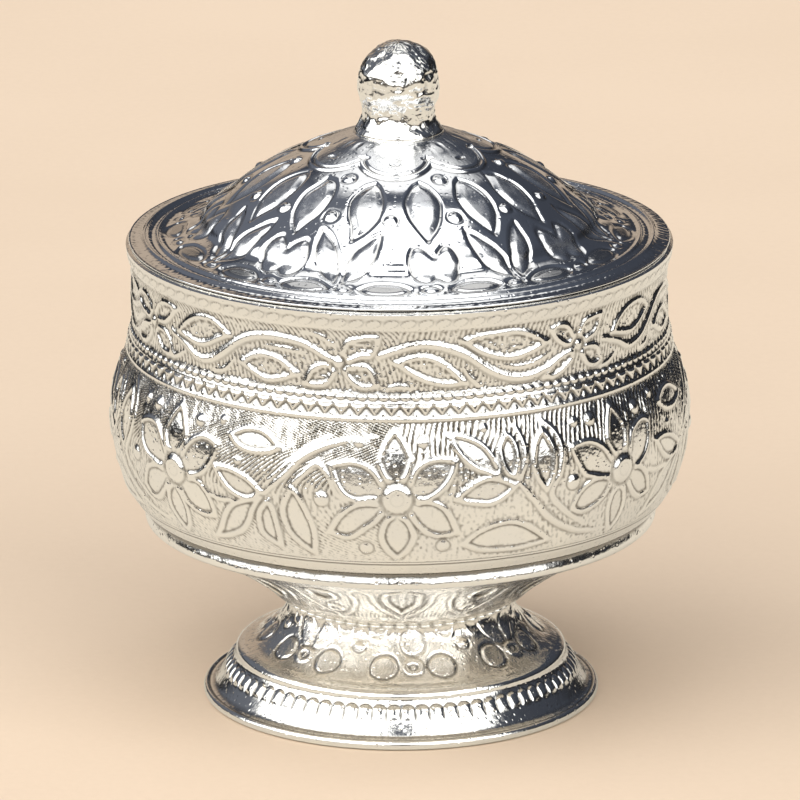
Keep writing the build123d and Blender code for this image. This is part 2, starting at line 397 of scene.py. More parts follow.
def tex(nt, kind, coord, scale, **kw):
    n = nt.nodes.new("ShaderNodeTex" + kind)
    for k, v in kw.items():
        if k in n.inputs.keys():
            n.inputs[k].default_value = v
        else:
            setattr(n, k, v)
    n.inputs["Scale"].default_value = scale
    nt.links.new(coord, n.inputs["Vector"])
    return G(nt, n.outputs["Distance" if kind == "Voronoi" else "Fac"] if kind != "Wave" else n.outputs["Fac"])


def mixcol(nt, fac, a, b):
    n = nt.nodes.new("ShaderNodeMix"); n.data_type = "RGBA"
    nt.links.new(fac.o, n.inputs[0])
    for k, v in ((6, a), (7, b)):
        if isinstance(v, tuple):
            n.inputs[k].default_value = (*v, 1)
        else:
            nt.links.new(v, n.inputs[k])
    return n.outputs[2]


def bump(nt, height, dist, strength=1.0, normal=None):
    n = nt.nodes.new("ShaderNodeBump")
    n.inputs["Distance"].default_value = dist; n.inputs["Strength"].default_value = strength
    nt.links.new(height.o, n.inputs["Height"])
    if normal is not None:
        nt.links.new(normal, n.inputs["Normal"])
    return n.outputs["Normal"]


def silver(name, rough=0.13, spread=0.10, pebble=0.0, pits=0.0, wave=0.0, scratch=0.0, tarnish_and_shade=0.35, col=(0.91, 0.90, 0.865), tarnish_and_shade_col=(0.085, 0.068, 0.045)):
    """Bright plate: mottled roughness, worn micro surface, and recesses darkened towards a brown tint: painted shade,
    with some tarnish.
    """
    m = bpy.data.materials.new(name); m.use_nodes = True
    nt = m.node_tree; nt.nodes.clear()
    out = nt.nodes.new("ShaderNodeOutputMaterial"); b = nt.nodes.new("ShaderNodeBsdfPrincipled")
    nt.links.new(b.outputs[0], out.inputs[0])
    b.inputs["Metallic"].default_value = 1.0
    co = nt.nodes.new("ShaderNodeTexCoord").outputs["Object"]
    a = nt.nodes.new("ShaderNodeAttribute"); a.attribute_name = "shade_cav"
    shade_cav = G(nt, a.outputs["Fac"])
    a = nt.nodes.new("ShaderNodeAttribute"); a.attribute_name = "pad"
    pad = G(nt, a.outputs["Fac"])
    big = tex(nt, "Noise", co, 160.0, Detail=3.0, Roughness=0.55)
    fine = tex(nt, "Noise", co, 1900.0, Detail=3.0, Roughness=0.6)
    stain = tex(nt, "Noise", co, 620.0, Detail=4.0, Roughness=0.65)
    # painted shade in the recesses, with some tarnish and faint stains: the colour goes towards the brown tint by the
    # cavity value
    stain_tarnish_and_shade = (shade_cav * 1.0 + stain.ss(0.60, 0.78) * 0.10).op("MULTIPLY", tarnish_and_shade, clamp=True)
    c1 = mixcol(nt, big.ss(0.35, 0.65), col, tuple(x * y for x, y in zip(col, (0.965, 0.97, 0.985))))
    nt.links.new(mixcol(nt, stain_tarnish_and_shade, c1, tarnish_and_shade_col), b.inputs["Base Color"])
    r = big.ss(0.3, 0.7, rough - spread * 0.35, rough + spread * 0.35) + fine.ss(0.35, 0.75, 0.0, spread * 0.5) + shade_cav * 0.12 + pad * (stain.ss(0.3, 0.7, 0.10, 0.26))
    nt.links.new(r.op("MAXIMUM", 0.03).o, b.inputs["Roughness"])
    nrm = None
    if wave:
        nrm = bump(nt, tex(nt, "Noise", co, 420.0, Detail=2.0, Roughness=0.5), 0.00006 * wave, 1.0, nrm)
    if pebble:
        h = tex(nt, "Noise", co, 2300.0, Detail=2.5, Roughness=0.55)
        nrm = bump(nt, h, 0.00003 * pebble, 1.0, nrm)
    if pits:
        v = tex(nt, "Voronoi", co, 1500.0, feature="F1", Randomness=1.0)
        nrm = bump(nt, v.ss(0.08, 0.34), 0.00003 * pits, 1.0, nrm)
    if scratch:
        mp = nt.nodes.new("ShaderNodeMapping"); nt.links.new(co, mp.inputs["Vector"])
        mp.inputs["Rotation"].default_value = (0.5, 0.35, 0.9); mp.inputs["Scale"].default_value = (1, 9, 1)
        w = tex(nt, "Noise", mp.outputs[0], 700.0, Detail=3.0, Roughness=0.6)
        nrm = bump(nt, w.ss(0.55, 0.72), 0.00001 * scratch, 1.0, nrm)
    if nrm is not None:
        nt.links.new(nrm, b.inputs["Normal"])
    return m


def brass(name, rough=0.28):
    m = bpy.data.materials.new(name); m.use_nodes = True
    nt = m.node_tree; nt.nodes.clear()
    out = nt.nodes.new("ShaderNodeOutputMaterial"); b = nt.nodes.new("ShaderNodeBsdfPrincipled")
    nt.links.new(b.outputs[0], out.inputs[0])
    b.inputs["Metallic"].default_value = 1.0
    co = nt.nodes.new("ShaderNodeTexCoord").outputs["Object"]
    n1 = tex(nt, "Noise", co, 500.0, Detail=4.0, Roughness=0.6)
    n2 = tex(nt, "Noise", co, 2600.0, Detail=2.0, Roughness=0.6)
    nt.links.new(mixcol(nt, n1.ss(0.35, 0.7), (0.78, 0.60, 0.30), (0.55, 0.40, 0.20)), b.inputs["Base Color"])
    nt.links.new((n1.ss(0.3, 0.7, rough - 0.06, rough + 0.10) + n2.ss(0.4, 0.7, 0.0, 0.06)).o, b.inputs["Roughness"])
    nt.links.new(bump(nt, n2, 0.000012), b.inputs["Normal"])
    return m


# ---------------------------------------------------------------- ornament of the bowl casing
NC = 1632
P_CASE = Profile([(30.0, 52.2), (30.05, 51.2), (29.8, 49.9), (29.68, 48.6), (29.68, 46.5), (29.7, 44.2), (29.74, 42.8), (29.95, 41.6), (30.42, 40.1),
                  (31.25, 38.1), (31.85, 36.2), (32.18, 34.4), (32.33, 32.4), (32.14, 30.0), (31.72, 28.0), (31.1, 26.0), (30.3, 24.0), (29.72, 23.1),
                  (29.05, 22.2), (28.55, 21.35), (28.15, 20.62)], 0.5)
BS = 10.648          # where the belly's own measure starts


def shift(pts, d, k=1.0, c=0.0):
    return [((a - c) * k + c + d, s) for a, s in pts]


def case_field():
    f = Field(P_CASE, 0.32, P_CASE.len, NC, 0.125)
    # neck flowers: petals of the three kinds seen, measured from their own centres
    K13 = dict(c=-13.0, petals=[
        ([(-12.3, 4.9), (-11.5, 3.8), (-9, 3.2), (-4, 3.0)], [(-4.3, 4.0), (-5.5, 5.2), (-8, 5.4), (-12, 5.5)]),
        ([(-12, 6.3), (-9, 6.1), (-6, 6.6), (-4.5, 8.5)], [(-6, 8.75), (-8, 8.8), (-10, 8.2), (-11.7, 7)]),
        ([(-13.2, 6.3), (-16.5, 6.2), (-19, 7.0), (-20.6, 8.7)], [(-17.5, 8.9), (-14.8, 8.4), (-13.6, 7.3)])],
        lines=[[(-20.8, 3.0), (-17, 3.15), (-13.6, 4.2)]])
    K40 = dict(c=40.5, petals=[
        ([(40.0, 5.0), (38, 3.5), (35.5, 3.1), (33.0, 3.5)], [(34.5, 4.7), (36, 5.4), (38.5, 5.8)]),
        ([(40.8, 4.7), (42, 3.6), (45, 3.0), (48.3, 2.9)], [(46.5, 4.8), (44, 5.5), (41.2, 5.6)]),
        ([(40.9, 6.3), (44, 6.1), (46.5, 6.6), (47.8, 8.3)], [(45, 8.7), (43, 8.3), (41.5, 7.2)]),
        ([(39.7, 6.3), (36, 6.7), (33.3, 7.7), (31.2, 8.9)], [(34.5, 9.0), (37.6, 8.2), (39.4, 7.2)])], lines=[])
    K65 = dict(c=-65.0, petals=[
        ([(-64.8, 4.9), (-62.5, 3.5), (-59, 3.0), (-54.5, 3.3)], [(-57.5, 4.8), (-59, 5.4), (-62, 5.7), (-64.4, 5.5)]),
        ([(-65.4, 5.2), (-67.2, 3.9), (-71, 3.3), (-75.5, 4.0)], [(-73, 5.2), (-69.5, 5.7), (-66.4, 5.7)]),
        ([(-64.2, 6.3), (-61, 6.2), (-58, 6.8), (-56.0, 8.6)], [(-59, 8.9), (-62, 8.5), (-63.8, 7.2)]),
        ([(-65.6, 6.3), (-69.5, 6.4), (-72.5, 7.2), (-74.2, 8.7)], [(-71, 9.0), (-67.5, 8.4), (-65.9, 7.3)])], lines=[])
    LINT = (-65.0, -13.0, dict(
        vines=[([(-57, 6.0), (-52, 6.9), (-48, 7.9), (-44, 7.7), (-40, 6.6), (-36, 5), (-32, 4.1), (-27, 3.8), (-21, 4.2), (-14.4, 5.7)], 0.62)],
        leaves=[([(-54.9, 5.8), (-52, 4.3), (-49, 3.4), (-46, 3.05), (-43, 3.1), (-40.5, 3.7), (-38.0, 4.6)], [(-41, 5.3), (-44, 6.1), (-47, 6.5), (-50, 6.4), (-52.5, 6.1)],
                 [(-52.5, 5.5), (-48, 4.9), (-43.5, 4.6)]),
                ([(-36.0, 7.3), (-32, 6.0), (-29, 5.8), (-26, 6.1), (-21.4, 7.7)], [(-26, 8.6), (-29, 8.8), (-32, 8.3)], [(-33.5, 7.2), (-29, 7.2), (-24.5, 7.5)])],
        lines=[[(-29.5, 5.0), (-25, 4.95), (-20, 5.3)], [(-43.5, 8.9), (-39.5, 8.3), (-37.5, 7.2)], [(-60, 9.0), (-55, 8.6), (-52, 7.7)]]))
    RINT = (-13.0, 40.5, dict(
        vines=[([(-4.5, 5.3), (0, 4.4), (4.5, 3.9), (10, 4.4), (14, 5.3), (20, 7.5), (25, 8.4), (30, 8.3), (35, 7.2), (39.2, 6.3)], 0.62)],
        leaves=[([(-1.6, 5.8), (5, 5.1), (9, 5.8), (14.4, 8.5)], [(10, 8.6), (6, 8.1), (2, 7.1), (0.2, 6.4)], [(1, 6.1), (6, 6.5), (11, 7.7)]),
                ([(12.6, 3.7), (17, 3.1), (23, 2.95), (28, 3.4), (33.4, 4.9)], [(28, 5.9), (24, 6.2), (20, 5.8), (16, 4.9)], [(16, 4.1), (22, 4.5), (28.5, 4.7)])],
        lines=[[(20.5, 6.7), (27, 7.2), (32.5, 6.4), (34.5, 5.9)], [(-4, 8.9), (0, 8.5), (3, 8.8)], [(17, 9.0), (14.5, 7.6), (13.5, 6.6)]]))
    cs = [-65.0, -13.0, 40.5, 91.4, 142.3, 193.2, 244.1]
    kinds = [K65, K13, K40, K13, K40, K13, K40]
    for c, k in zip(cs, kinds):
        for a, b in k["petals"]:
            f.leaf(shift(a, c - k["c"]), shift(b, c - k["c"]), w=0.40, h=0.30, dish=0.06)
        for l in k["lines"]:
            f.cord(shift(l, c - k["c"]), 0.34, 0.24, 0.6)
        f.bead(c + 0.1, 5.95, 0.62, 0.30, ring=False, g=0.1)
    for i in range(7):
        a0, a1 = cs[i], cs[(i + 1) % 7] + (360 if i == 6 else 0)
        src = LINT if i in (0, 2, 4) else RINT
        k = (a1 - a0) / (src[1] - src[0])
        T = lambda pts: [((a - src[0]) * k + a0, s) for a, s in pts]
        for v, w in src[2]["vines"]:
            f.cord(T(v), w, 0.31, 0.35)
        for a, b, rib in src[2]["leaves"]:
            f.leaf(T(a), T(b), w=0.42, h=0.31, dish=0.07, rib=T(rib), ribh=0.12)
        for l in src[2]["lines"]:
            f.cord(T(l), 0.33, 0.22, 0.75)

    # belly flowers
    A = dict(c=-49.8, petals=[
        ([(-50.4, 2.3), (-52.8, 4.3), (-53.7, 5.9), (-52.7, 7.7), (-50.4, 8.8)], [(-48.1, 7.7), (-46.9, 5.9), (-48.0, 4.1)]),
        ([(-48.4, 8.6), (-46.5, 6.6), (-44, 5.5), (-41.5, 5.2), (-38.3, 5.7)], [(-39.0, 7.3), (-40.5, 8.8), (-42.5, 9.8), (-45, 10.2), (-47.8, 10.0)]),
        ([(-47.4, 10.5), (-43.5, 10.3), (-41.6, 10.9), (-40.0, 12.3), (-39.2, 14.5)], [(-43.5, 14.7), (-46, 14.2), (-47.9, 13.1), (-49.0, 11.6)]),
        ([(-50.6, 11.6), (-52.8, 13.0), (-53.3, 14.6), (-52, 16.3), (-49.6, 17.9)], [(-47.7, 16.4), (-47.2, 14.6), (-48.6, 12.6)]),
        ([(-52.0, 10.5), (-56, 10.1), (-59.5, 11), (-61.8, 13.3)], [(-60, 14.5), (-57, 14.7), (-54.5, 13.6), (-52.0, 11.7)]),
        ([(-52.0, 8.7), (-54, 6.9), (-56, 5.7), (-59, 5.3), (-62.8, 6.0)], [(-61.8, 8.1), (-59.5, 9.5), (-57, 10.0), (-52.8, 9.8)])])
    B = dict(c=-0.6, petals=[
        ([(-1.1, 2.2), (-3.5, 4.2), (-4.3, 6.0), (-3.2, 7.7), (-0.8, 8.8)], [(1.4, 7.6), (2.3, 5.6), (1.1, 3.9)]),
        ([(-2.6, 8.9), (-5, 6.9), (-9, 5.8), (-13.9, 6.3)], [(-13, 7.9), (-11.5, 9.5), (-9, 10.4), (-6.5, 10.3), (-3.0, 9.7)]),
        ([(1.3, 8.8), (2.7, 6.8), (5, 5.8), (8, 5.5), (11.2, 5.8)], [(10.2, 7.8), (7.5, 9.6), (4, 10.3), (1.7, 9.8)]),
        ([(-2.9, 10.6), (-6.5, 10.4), (-9.3, 10.7), (-11.7, 11.8), (-14.5, 14.4)], [(-10, 15.0), (-7, 13.9), (-3.2, 11.5)]),
        ([(1.6, 10.5), (6, 10.3), (9, 11.3), (11.8, 14.5)], [(7, 14.8), (4, 13.8), (1.6, 11.6)]),
        ([(-0.9, 11.6), (-3.4, 13.0), (-4.1, 14.8), (-2.8, 16.6), (-0.6, 17.9)], [(1.8, 16.4), (2.9, 14.6), (1.8, 12.8)])])
    C = dict(c=48.9, petals=[
        ([(47.6, 2.3), (45.6, 4.2), (44.9, 6.2), (46.2, 7.9), (48.4, 8.8)], [(50.2, 7.7), (50.8, 5.8), (49.6, 3.8)]),
        ([(50.8, 8.6), (51.8, 6.4), (54, 5.4), (57, 5.1), (58.8, 5.6)], [(58.2, 7.8), (55.5, 9.9), (50.9, 10.0)]),
        ([(46.8, 8.9), (43.9, 6.8), (41, 5.8), (35.4, 5.8)], [(36.6, 7.8), (38.5, 9.5), (41, 10.0), (46.4, 9.9)]),
        ([(46.6, 10.8), (43.5, 10.1), (40, 10.2), (37, 11.4), (35.2, 13.3)], [(38, 14.1), (41, 13.9), (44, 13.0)]),
        ([(50.6, 10.5), (54, 10.3), (56.4, 11.1), (58.3, 12.5), (59.5, 14.3)], [(55, 14.5), (52.5, 13.4), (50.6, 11.6)]),
        ([(48.6, 11.6), (46.2, 12.8), (45.6, 14.7), (46.6, 16.4), (48.0, 17.9)], [(50.2, 16.3), (50.9, 14.5), (50.3, 12.7)])])
    bc = [-49.8, -0.6, 48.9, 101.2, 153.4, 205.7, 257.9]
    for c, k in zip(bc, [A, B, C, A, B, C, B]):
        for a, b in k["petals"]:
            a2, b2 = [[(x, s + BS) for x, s in shift(q, c - k["c"])] for q in (a, b)]
            f.leaf(a2, b2, w=0.37, h=0.29, dish=0.22)
        f.bead(c, 10.1 + BS, 1.45, 0.32, ring=False, g=0.12, rs=1.4)
        f.bead(c, 10.1 + BS, 1.45, 0.34, ring=True)
    L = (-49.8, -0.6, dict(
        leaves=[([(-39.4, 8.1), (-35, 8.2), (-31, 8.9), (-27.4, 10.3)], [(-30, 11.3), (-33, 11.4), (-35.5, 10.8), (-37.6, 9.6)]),
                ([(-27.5, 10.8), (-31.5, 11.4), (-35, 12.4), (-37.2, 13.9), (-39.0, 15.8), (-41.0, 17.4)], [(-36, 16.6), (-33, 15.6), (-31, 14.2), (-29.6, 12.6)]),
                ([(-26.4, 10.9), (-29.0, 13.0), (-29.2, 14.8), (-24.6, 17.2)], [(-24.6, 14.4), (-25.2, 12.2)]),
                ([(-21.6, 9.1), (-23.7, 12.3), (-22.9, 14.6), (-20.7, 16.2), (-17.3, 17.6)], [(-16.8, 14.6), (-18.2, 12), (-20.0, 10)]),
                ([(-36.2, 4.4), (-32, 3.3), (-28, 3.4), (-23.6, 5.1)], [(-27.5, 5.9), (-31, 6.0), (-34, 5.5)])],
        bands=[([(-27.3, 10.5), (-23.6, 8.5), (-19.4, 5.9), (-15, 4.4), (-10, 3.6), (-5.0, 3.1)], 0.52, 0.33),
               ([(-42.2, 11.4), (-38, 12.0), (-33, 11.9)], 0.34, 0.24), ([(-21.8, 9.3), (-19.5, 8.0), (-16, 6.5), (-13.8, 7.8), (-12.5, 9.4), (-10, 10.6)], 0.34, 0.26),
               ([(-26.8, 9.4), (-23, 7.1), (-18.6, 4.7), (-14, 3.2)], 0.30, 0.24)],
        beads=[(-44, 3.7, 0.85), (-15.3, 10.3, 0.9), (-6.8, 16.2, 0.8), (-38, 3.0, 0.6), (-33.4, 7.2, 0.5)]))
    R = (-0.6, 48.9, dict(
        leaves=[([(9.3, 2.9), (13, 3.2), (17, 4.5), (19, 6.4), (20.2, 8.3)], [(17, 7.7), (14, 6.9), (11.2, 5.0)]),
                ([(10.4, 10.3), (14, 8.6), (17, 8.0), (20, 8.3), (23.4, 9.3)], [(21, 10.4), (18, 11.2), (15, 11.1), (12, 10.7)]),
                ([(29.6, 3.2), (27.2, 5.1), (26.4, 7), (27.4, 9.0), (29.6, 10.7)], [(31.4, 8.4), (31.8, 6), (31.0, 4.4)]),
                ([(12.0, 16.0), (15, 14.5), (18, 13.7), (22, 13.4), (25, 13.9), (29, 15.4), (32.2, 16.9)], [(27, 17.3), (20, 17.4), (15.5, 17.0)]),
                ([(19.5, 4.9), (19.8, 6.6), (20.9, 7.9), (22.9, 8.6)], [(23.6, 7.0), (23.4, 4.6), (21.6, 3.4)])],
        bands=[([(23.3, 8.9), (26, 10.8), (29, 12.8), (33, 14.9), (37, 16.1), (43.5, 17.0)], 0.48, 0.33),
               ([(29.8, 2.4), (32.4, 4.0), (33.5, 6), (32.8, 8.2), (30.6, 10.9), (33, 12.7), (36, 14.2), (39.5, 15.4)], 0.42, 0.30),
               ([(23.3, 8.8), (24.8, 7), (25, 5), (23.7, 2.7)], 0.42, 0.30), ([(13, 9.7), (17, 9.2), (20.5, 9.4)], 0.26, 0.16)],
        beads=[(35.7, 10.1, 0.95), (41.3, 3.5, 0.8), (17, 3.5 - 1.0, 0.55), (8.5, 16, 0.8), (37.2, 3.4, 0.6)]))
    for i in range(7):
        a0, a1 = bc[i], bc[(i + 1) % 7] + (360 if i == 6 else 0)
        src = L if i in (0, 2, 4, 5) else R
        k = (a1 - a0) / (src[1] - src[0])
        T = lambda pts: [((a - src[0]) * k + a0, s + BS) for a, s in pts]
        for a, b in src[2]["leaves"]:
            f.leaf(T(a), T(b), w=0.37, h=0.29, dish=0.22)
        for p, w, h in src[2]["bands"]:
            f.cord(T(p), w, h, 0.55)
        for a, s, r in src[2]["beads"]:
            t = T([(a, s)])[0]
            f.bead(t[0], t[1], r, 0.28, ring=False, g=0.1)
        e = T([(-57.5 + 49.2 if i % 2 else 4.6, 3.8)])[0]
        f.bead(e[0], 3.7 + BS, 0.7, 0.26, ring=False, g=0.1)

    # bands round the turn
    S, TU = f.full()
    deg = TU * 360
    mm = TU * 2 * PI * f.r[:, None]
    m = f.mask
    H = soften(wobble(f.H - 0.85 * f.I, f, S, TU, 0.09, 7), 1)
    warp = vnoise(TU, S, 60, 0.35, 3) * 1.1
    # ground depth by band: 0 at the plain bands, sunk where there is relief
    b = S - BS
    base = np.interp(S[:, 0], [0.0, 0.85, 1.0, 2.05, 2.2, 2.5, 9.1, 9.35, 10.0, 10.1, 10.28, 10.5, 10.7, 11.75, 11.9, 12.05, 12.3, BS + 17.0, BS + 18.3, BS + 20.6, BS + 20.95, BS + 21.85, BS + 22.1, 60],
                     [0.0, -0.03, -0.13, -0.13, -0.12, -0.36, -0.36, -0.26, -0.26, -0.20, -0.05, -0.16, -0.25, -0.25, -0.16, -0.06, -0.42, -0.42, -0.46, -0.54, -1.02, -0.06, -0.02, -0.02])[:, None] * np.ones_like(S)
    base = blur1(base, 1, 0)
    # neck: rope of slanted leaves, 100 round
    u = (deg / 3.6 + (S - 1.5) * 0.28) % 1.0 - 0.5
    v = (S - 1.5) / 0.56
    q = np.sqrt((u / 0.45)**2 + v**2)
    rope = 0.07 * np.clip(1 - q**2, 0, 1)**0.6 - 0.13 * np.exp(-((q - 1.02) / 0.16)**2)
    H = np.where((S > 0.75) & (S < 2.3), rope, H)
    # fine bead rope at 9.7 and the wedges at 11.2
    u = (deg / 2.25) % 1.0 - 0.5
    H = np.maximum(H, np.where((S > 9.3) & (S < 10.08), (0.17 + 0.16 * vnoise(TU, S, 330, 0.1, 2)) * np.clip(1 - (u / 0.46)**2 - ((S - 9.7) / 0.34)**2, 0, 1)**0.7, 0))
    u = np.abs((deg / 3.4615) % 1.0 - 0.5) * 2           # 0 at the middle of a wedge
    t = np.clip((S - 10.62) / 1.12, 0, 1)
    edge = (1 - t) * 0.96
    wedge = 0.21 * sstep(0.0, 0.34, edge - u) * sstep(10.5, 10.66, S) * (1 - sstep(11.7, 11.85, S)) * (0.62 + 0.38 * (1 - t))
    H = np.maximum(H, wedge)
    u2 = np.abs((deg / 3.4615 + 0.5) % 1.0 - 0.5) * 2
    H = np.maximum(H, 0.10 * np.clip(1 - (u2 / 0.34)**2 - ((S - 11.45) / 0.30)**2, 0, 1)**0.6)
    # hatched ground of the neck
    g = 1 - m
    band = sstep(2.35, 2.7, S) * (1 - sstep(8.9, 9.2, S))
    ph = (mm * 0.93 + (S - 5) * 0.30 * np.where(deg > 180, -1, 1) + warp * 0.5) / 0.52
    hat = np.cos(2 * PI * ph) * (0.65 + 0.7 * vnoise(TU, S, 300, 1.3, 5))
    fleck = vnoise(TU, S, 620, 2.6, 6) + 0.5 * vnoise(TU, S, 1000, 4.0, 8)
    H = H + g * band * (0.034 * hat + 0.060 * fleck)
    # belly ground: slanted strokes that fade below, finer below the flowers
    lean = np.interp(((deg + 180) % 360) - 180, [-180, -90, -20, 25, 90, 180], [0.1, 0.42, 0.36, 0.05, -0.12, 0.1])
    ph = (mm * 0.93 + b * lean + warp * 0.7) / 0.56
    side = np.interp(((deg + 180) % 360) - 180, [-180, -90, -8, 8, 90, 180], [1.0, 1.0, 1.0, 0.66, 0.66, 1.0])
    amp = 0.118 * side * sstep(1.5, 1.9, b) * (1 - 0.40 * sstep(4.0, 7.0, b)) * (1 - 0.82 * sstep(6.5, 11.0, b)) * (1 - sstep(18.0, 18.5, b))
    brk = np.clip(0.75 + 1.2 * vnoise(TU, S, 420, 0.9, 9) + 0.6 * vnoise(TU, S, 150, 0.5, 10), 0.05, 1.4)
    H = H + g * amp * np.cos(2 * PI * ph) * brk
    H = H + g * sstep(1.4, 1.8, b) * (1 - sstep(18.2, 18.6, b)) * 0.05 * (vnoise(TU, S, 620, 2.3, 12) + 0.4 * vnoise(TU, S, 1000, 4.0, 13))
    # hammered light unevenness
    H = H + 0.016 * vnoise(TU, S, 90, 0.45, 21) * (0.3 + 0.7 * sstep(12, 13, S)) + 0.012 * vnoise(TU, S, 240, 1.2, 22) * g
    # stippled insides on the neck, dents inside the belly leaves
    ins = f.inside
    H = H + ins * np.where(b < 1, 0.10 * vnoise(TU, S, 640, 3.2, 31), 0.030 * vnoise(TU, S, 230, 1.1, 32) + 0.020 * vnoise(TU, S, 700, 3.3, 33))
    # engraved lines on the belly's lower band and its wavy bright edge
    for s0, d in ((18.45, 0.10), (18.85, 0.10), (1.28 + 0.35, 0.05)):
        H = H - d * np.exp(-((b - s0) / 0.10)**2)
    H = H + 0.09 * vnoise(TU, S, 150, 1.2, 41) * sstep(20.5, 20.9, b) * (1 - sstep(21.8, 22.1, b))
    # pitted rim
    H = H + (S < 1.0) * 0.020 * vnoise(TU, S, 500, 2.4, 51)
    off = np.minimum(base + H, 0.0)
    return f, off


def sheet_loop(f, off, inner, k_in, lo=0, hi=None):
    """Outer rows lo..hi, then the inside's rows back up, as one closed loop of rings."""
    hi = f.m - 1 if hi is None else hi
    outer = np.arange(lo, hi + 1)
    back = np.arange(hi, lo - 1, -k_in)
    if back[-1] != lo:
        back = np.r_[back, lo]
    pts = np.concatenate([ring_points(f, off, outer), ring_points(f, inner, back)])
    return pts, outer, back


sl_emb = silver("silver_embossed_plate", rough=0.12, spread=0.08, pebble=0.9, pits=0.9, tarnish_and_shade=0.76)
sl_lid = silver("silver_embossed_lid_plate", col=(0.91, 0.92, 0.93), rough=0.07, spread=0.05, pebble=0.15, pits=0.35, wave=0.12, tarnish_and_shade=0.55)
sl_foot = silver("silver_embossed_foot_plate", rough=0.10, spread=0.07, pebble=0.7, pits=0.8, wave=0.08, tarnish_and_shade=0.72)
sl_knob = silver("silver_plain_knob_plate", rough=0.11, spread=0.09, pebble=0.45, pits=0.35, wave=1.5, scratch=1.5, tarnish_and_shade=0.35)
sl_crown = silver("silver_embossed_warm_plate", rough=0.14, spread=0.11, pebble=1.4, pits=1.4, tarnish_and_shade=0.86, col=(0.91, 0.88, 0.82))
sl_in = silver("silver_plain_inside_plate", rough=0.24, spread=0.10, pebble=0.25, wave=0.1, scratch=1.0, tarnish_and_shade=0.5)
sl_plain = silver("silver_plain_plate", rough=0.14, spread=0.08, pebble=0.12, wave=0.1, scratch=1.0, tarnish_and_shade=0.35)
br = brass("brass_turned")


def place(ob, body, slot, mat, *nodes, mats=()):
    ob.data.materials.append(mat)
    for x in mats:
        ob.data.materials.append(x)
    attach(ob, body)
    if nodes:
        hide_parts(*nodes)
    return ob


def inner_faces_second(ob, n, first_row, last_row):
    """Gives the quads of rows first_row..last_row the second material."""
    idx = np.zeros(len(ob.data.polygons), np.int32)
    idx[first_row * n:last_row * n] = 1
    ob.data.polygons.foreach_set("material_index", idx)


# casing: neck piece and belly piece, meeting under the line between them
f, off = case_field()
inner = -0.80 + np.clip(off + 0.42, 0, 0.42) * 0.75
inner = np.minimum(blur1(blur1(inner, 1, 0), 2, 1, True), off - 0.3)
cut = int(round((12.2 - f.s0) / f.ds))
# the grooves of the strokes between the flowers get the strongest painted shade, with some tarnish
shade_cav = cavity(off, f) * (1 + 0.30 * (sstep(1.6, 2.2, f.s - BS) * (1 - sstep(7.5, 10.0, f.s - BS)))[:, None] * (1 - f.mask))
rim = turned([(28.80, 51.85), (28.84, 51.98), (28.98, 52.0), (29.25, 52.0), (29.5, 52.0), (29.74, 51.93)], NC)
row0 = int(round((0.50 - f.s0) / f.ds))
pts, o, b = sheet_loop(f, off, inner, 4, row0, cut)
# the inside runs down from the mouth edge, so the loop closes over the rim's top
zz = f.z[b]
keep = zz < 51.6
pts = np.concatenate([pts[:len(o)], pts[len(o):][keep], rim])
cv = np.concatenate([shade_cav[o].ravel(), np.zeros(int(keep.sum()) * NC), np.zeros(len(rim) * NC)])
ob = grid_mesh("casing_neck", pts, cv)
place(ob, "bowl", "silver_embossed", sl_emb, "bowl_casing", mats=(sl_in,))
inner_faces_second(ob, NC, len(o), len(o) + int(keep.sum()))
# belly: closed below by the turned edge over the dish's lap
pts, o, b = sheet_loop(f, off, inner, 5, cut, None)
zz = f.z[b]
edge = turned([(27.95, 20.47), (27.7, 20.45), (27.45, 20.46), (27.41, 20.6), (27.42, 21.2), (27.5, 21.9)], NC)
keep = zz > 22.3
pts = np.concatenate([pts[:len(o)], edge, pts[len(o):][keep]])
cv = np.concatenate([shade_cav[o].ravel(), np.zeros(len(edge) * NC), np.zeros(int(keep.sum()) * NC)])
ob = grid_mesh("casing_belly", pts, cv)
place(ob, "bowl", "silver_embossed", sl_emb, "bowl_casing", mats=(sl_in,))
inner_faces_second(ob, NC, len(o) + len(edge) - 1, len(pts) - 1)


# ---------------------------------------------------------------- lid
NL = 1344
P_LID = Profile([(5.05, 64.1), (6.2, 63.75), (8.1, 63.0), (10.75, 62.0), (13.3, 61.0), (15.2, 60.0), (16.72, 59.0), (18.05, 58.0), (19.25, 57.0), (20.65, 56.0),
                 (21.5, 55.15), (22.1, 54.25), (22.7, 53.95), (23.4, 53.7), (24.6, 53.2), (25.4, 52.98), (26.1, 52.86), (26.5, 52.97), (26.8, 52.62), (27.6, 52.62),
                 (27.88, 52.9), (28.3, 52.62), (29.58, 52.42)], 0.16)


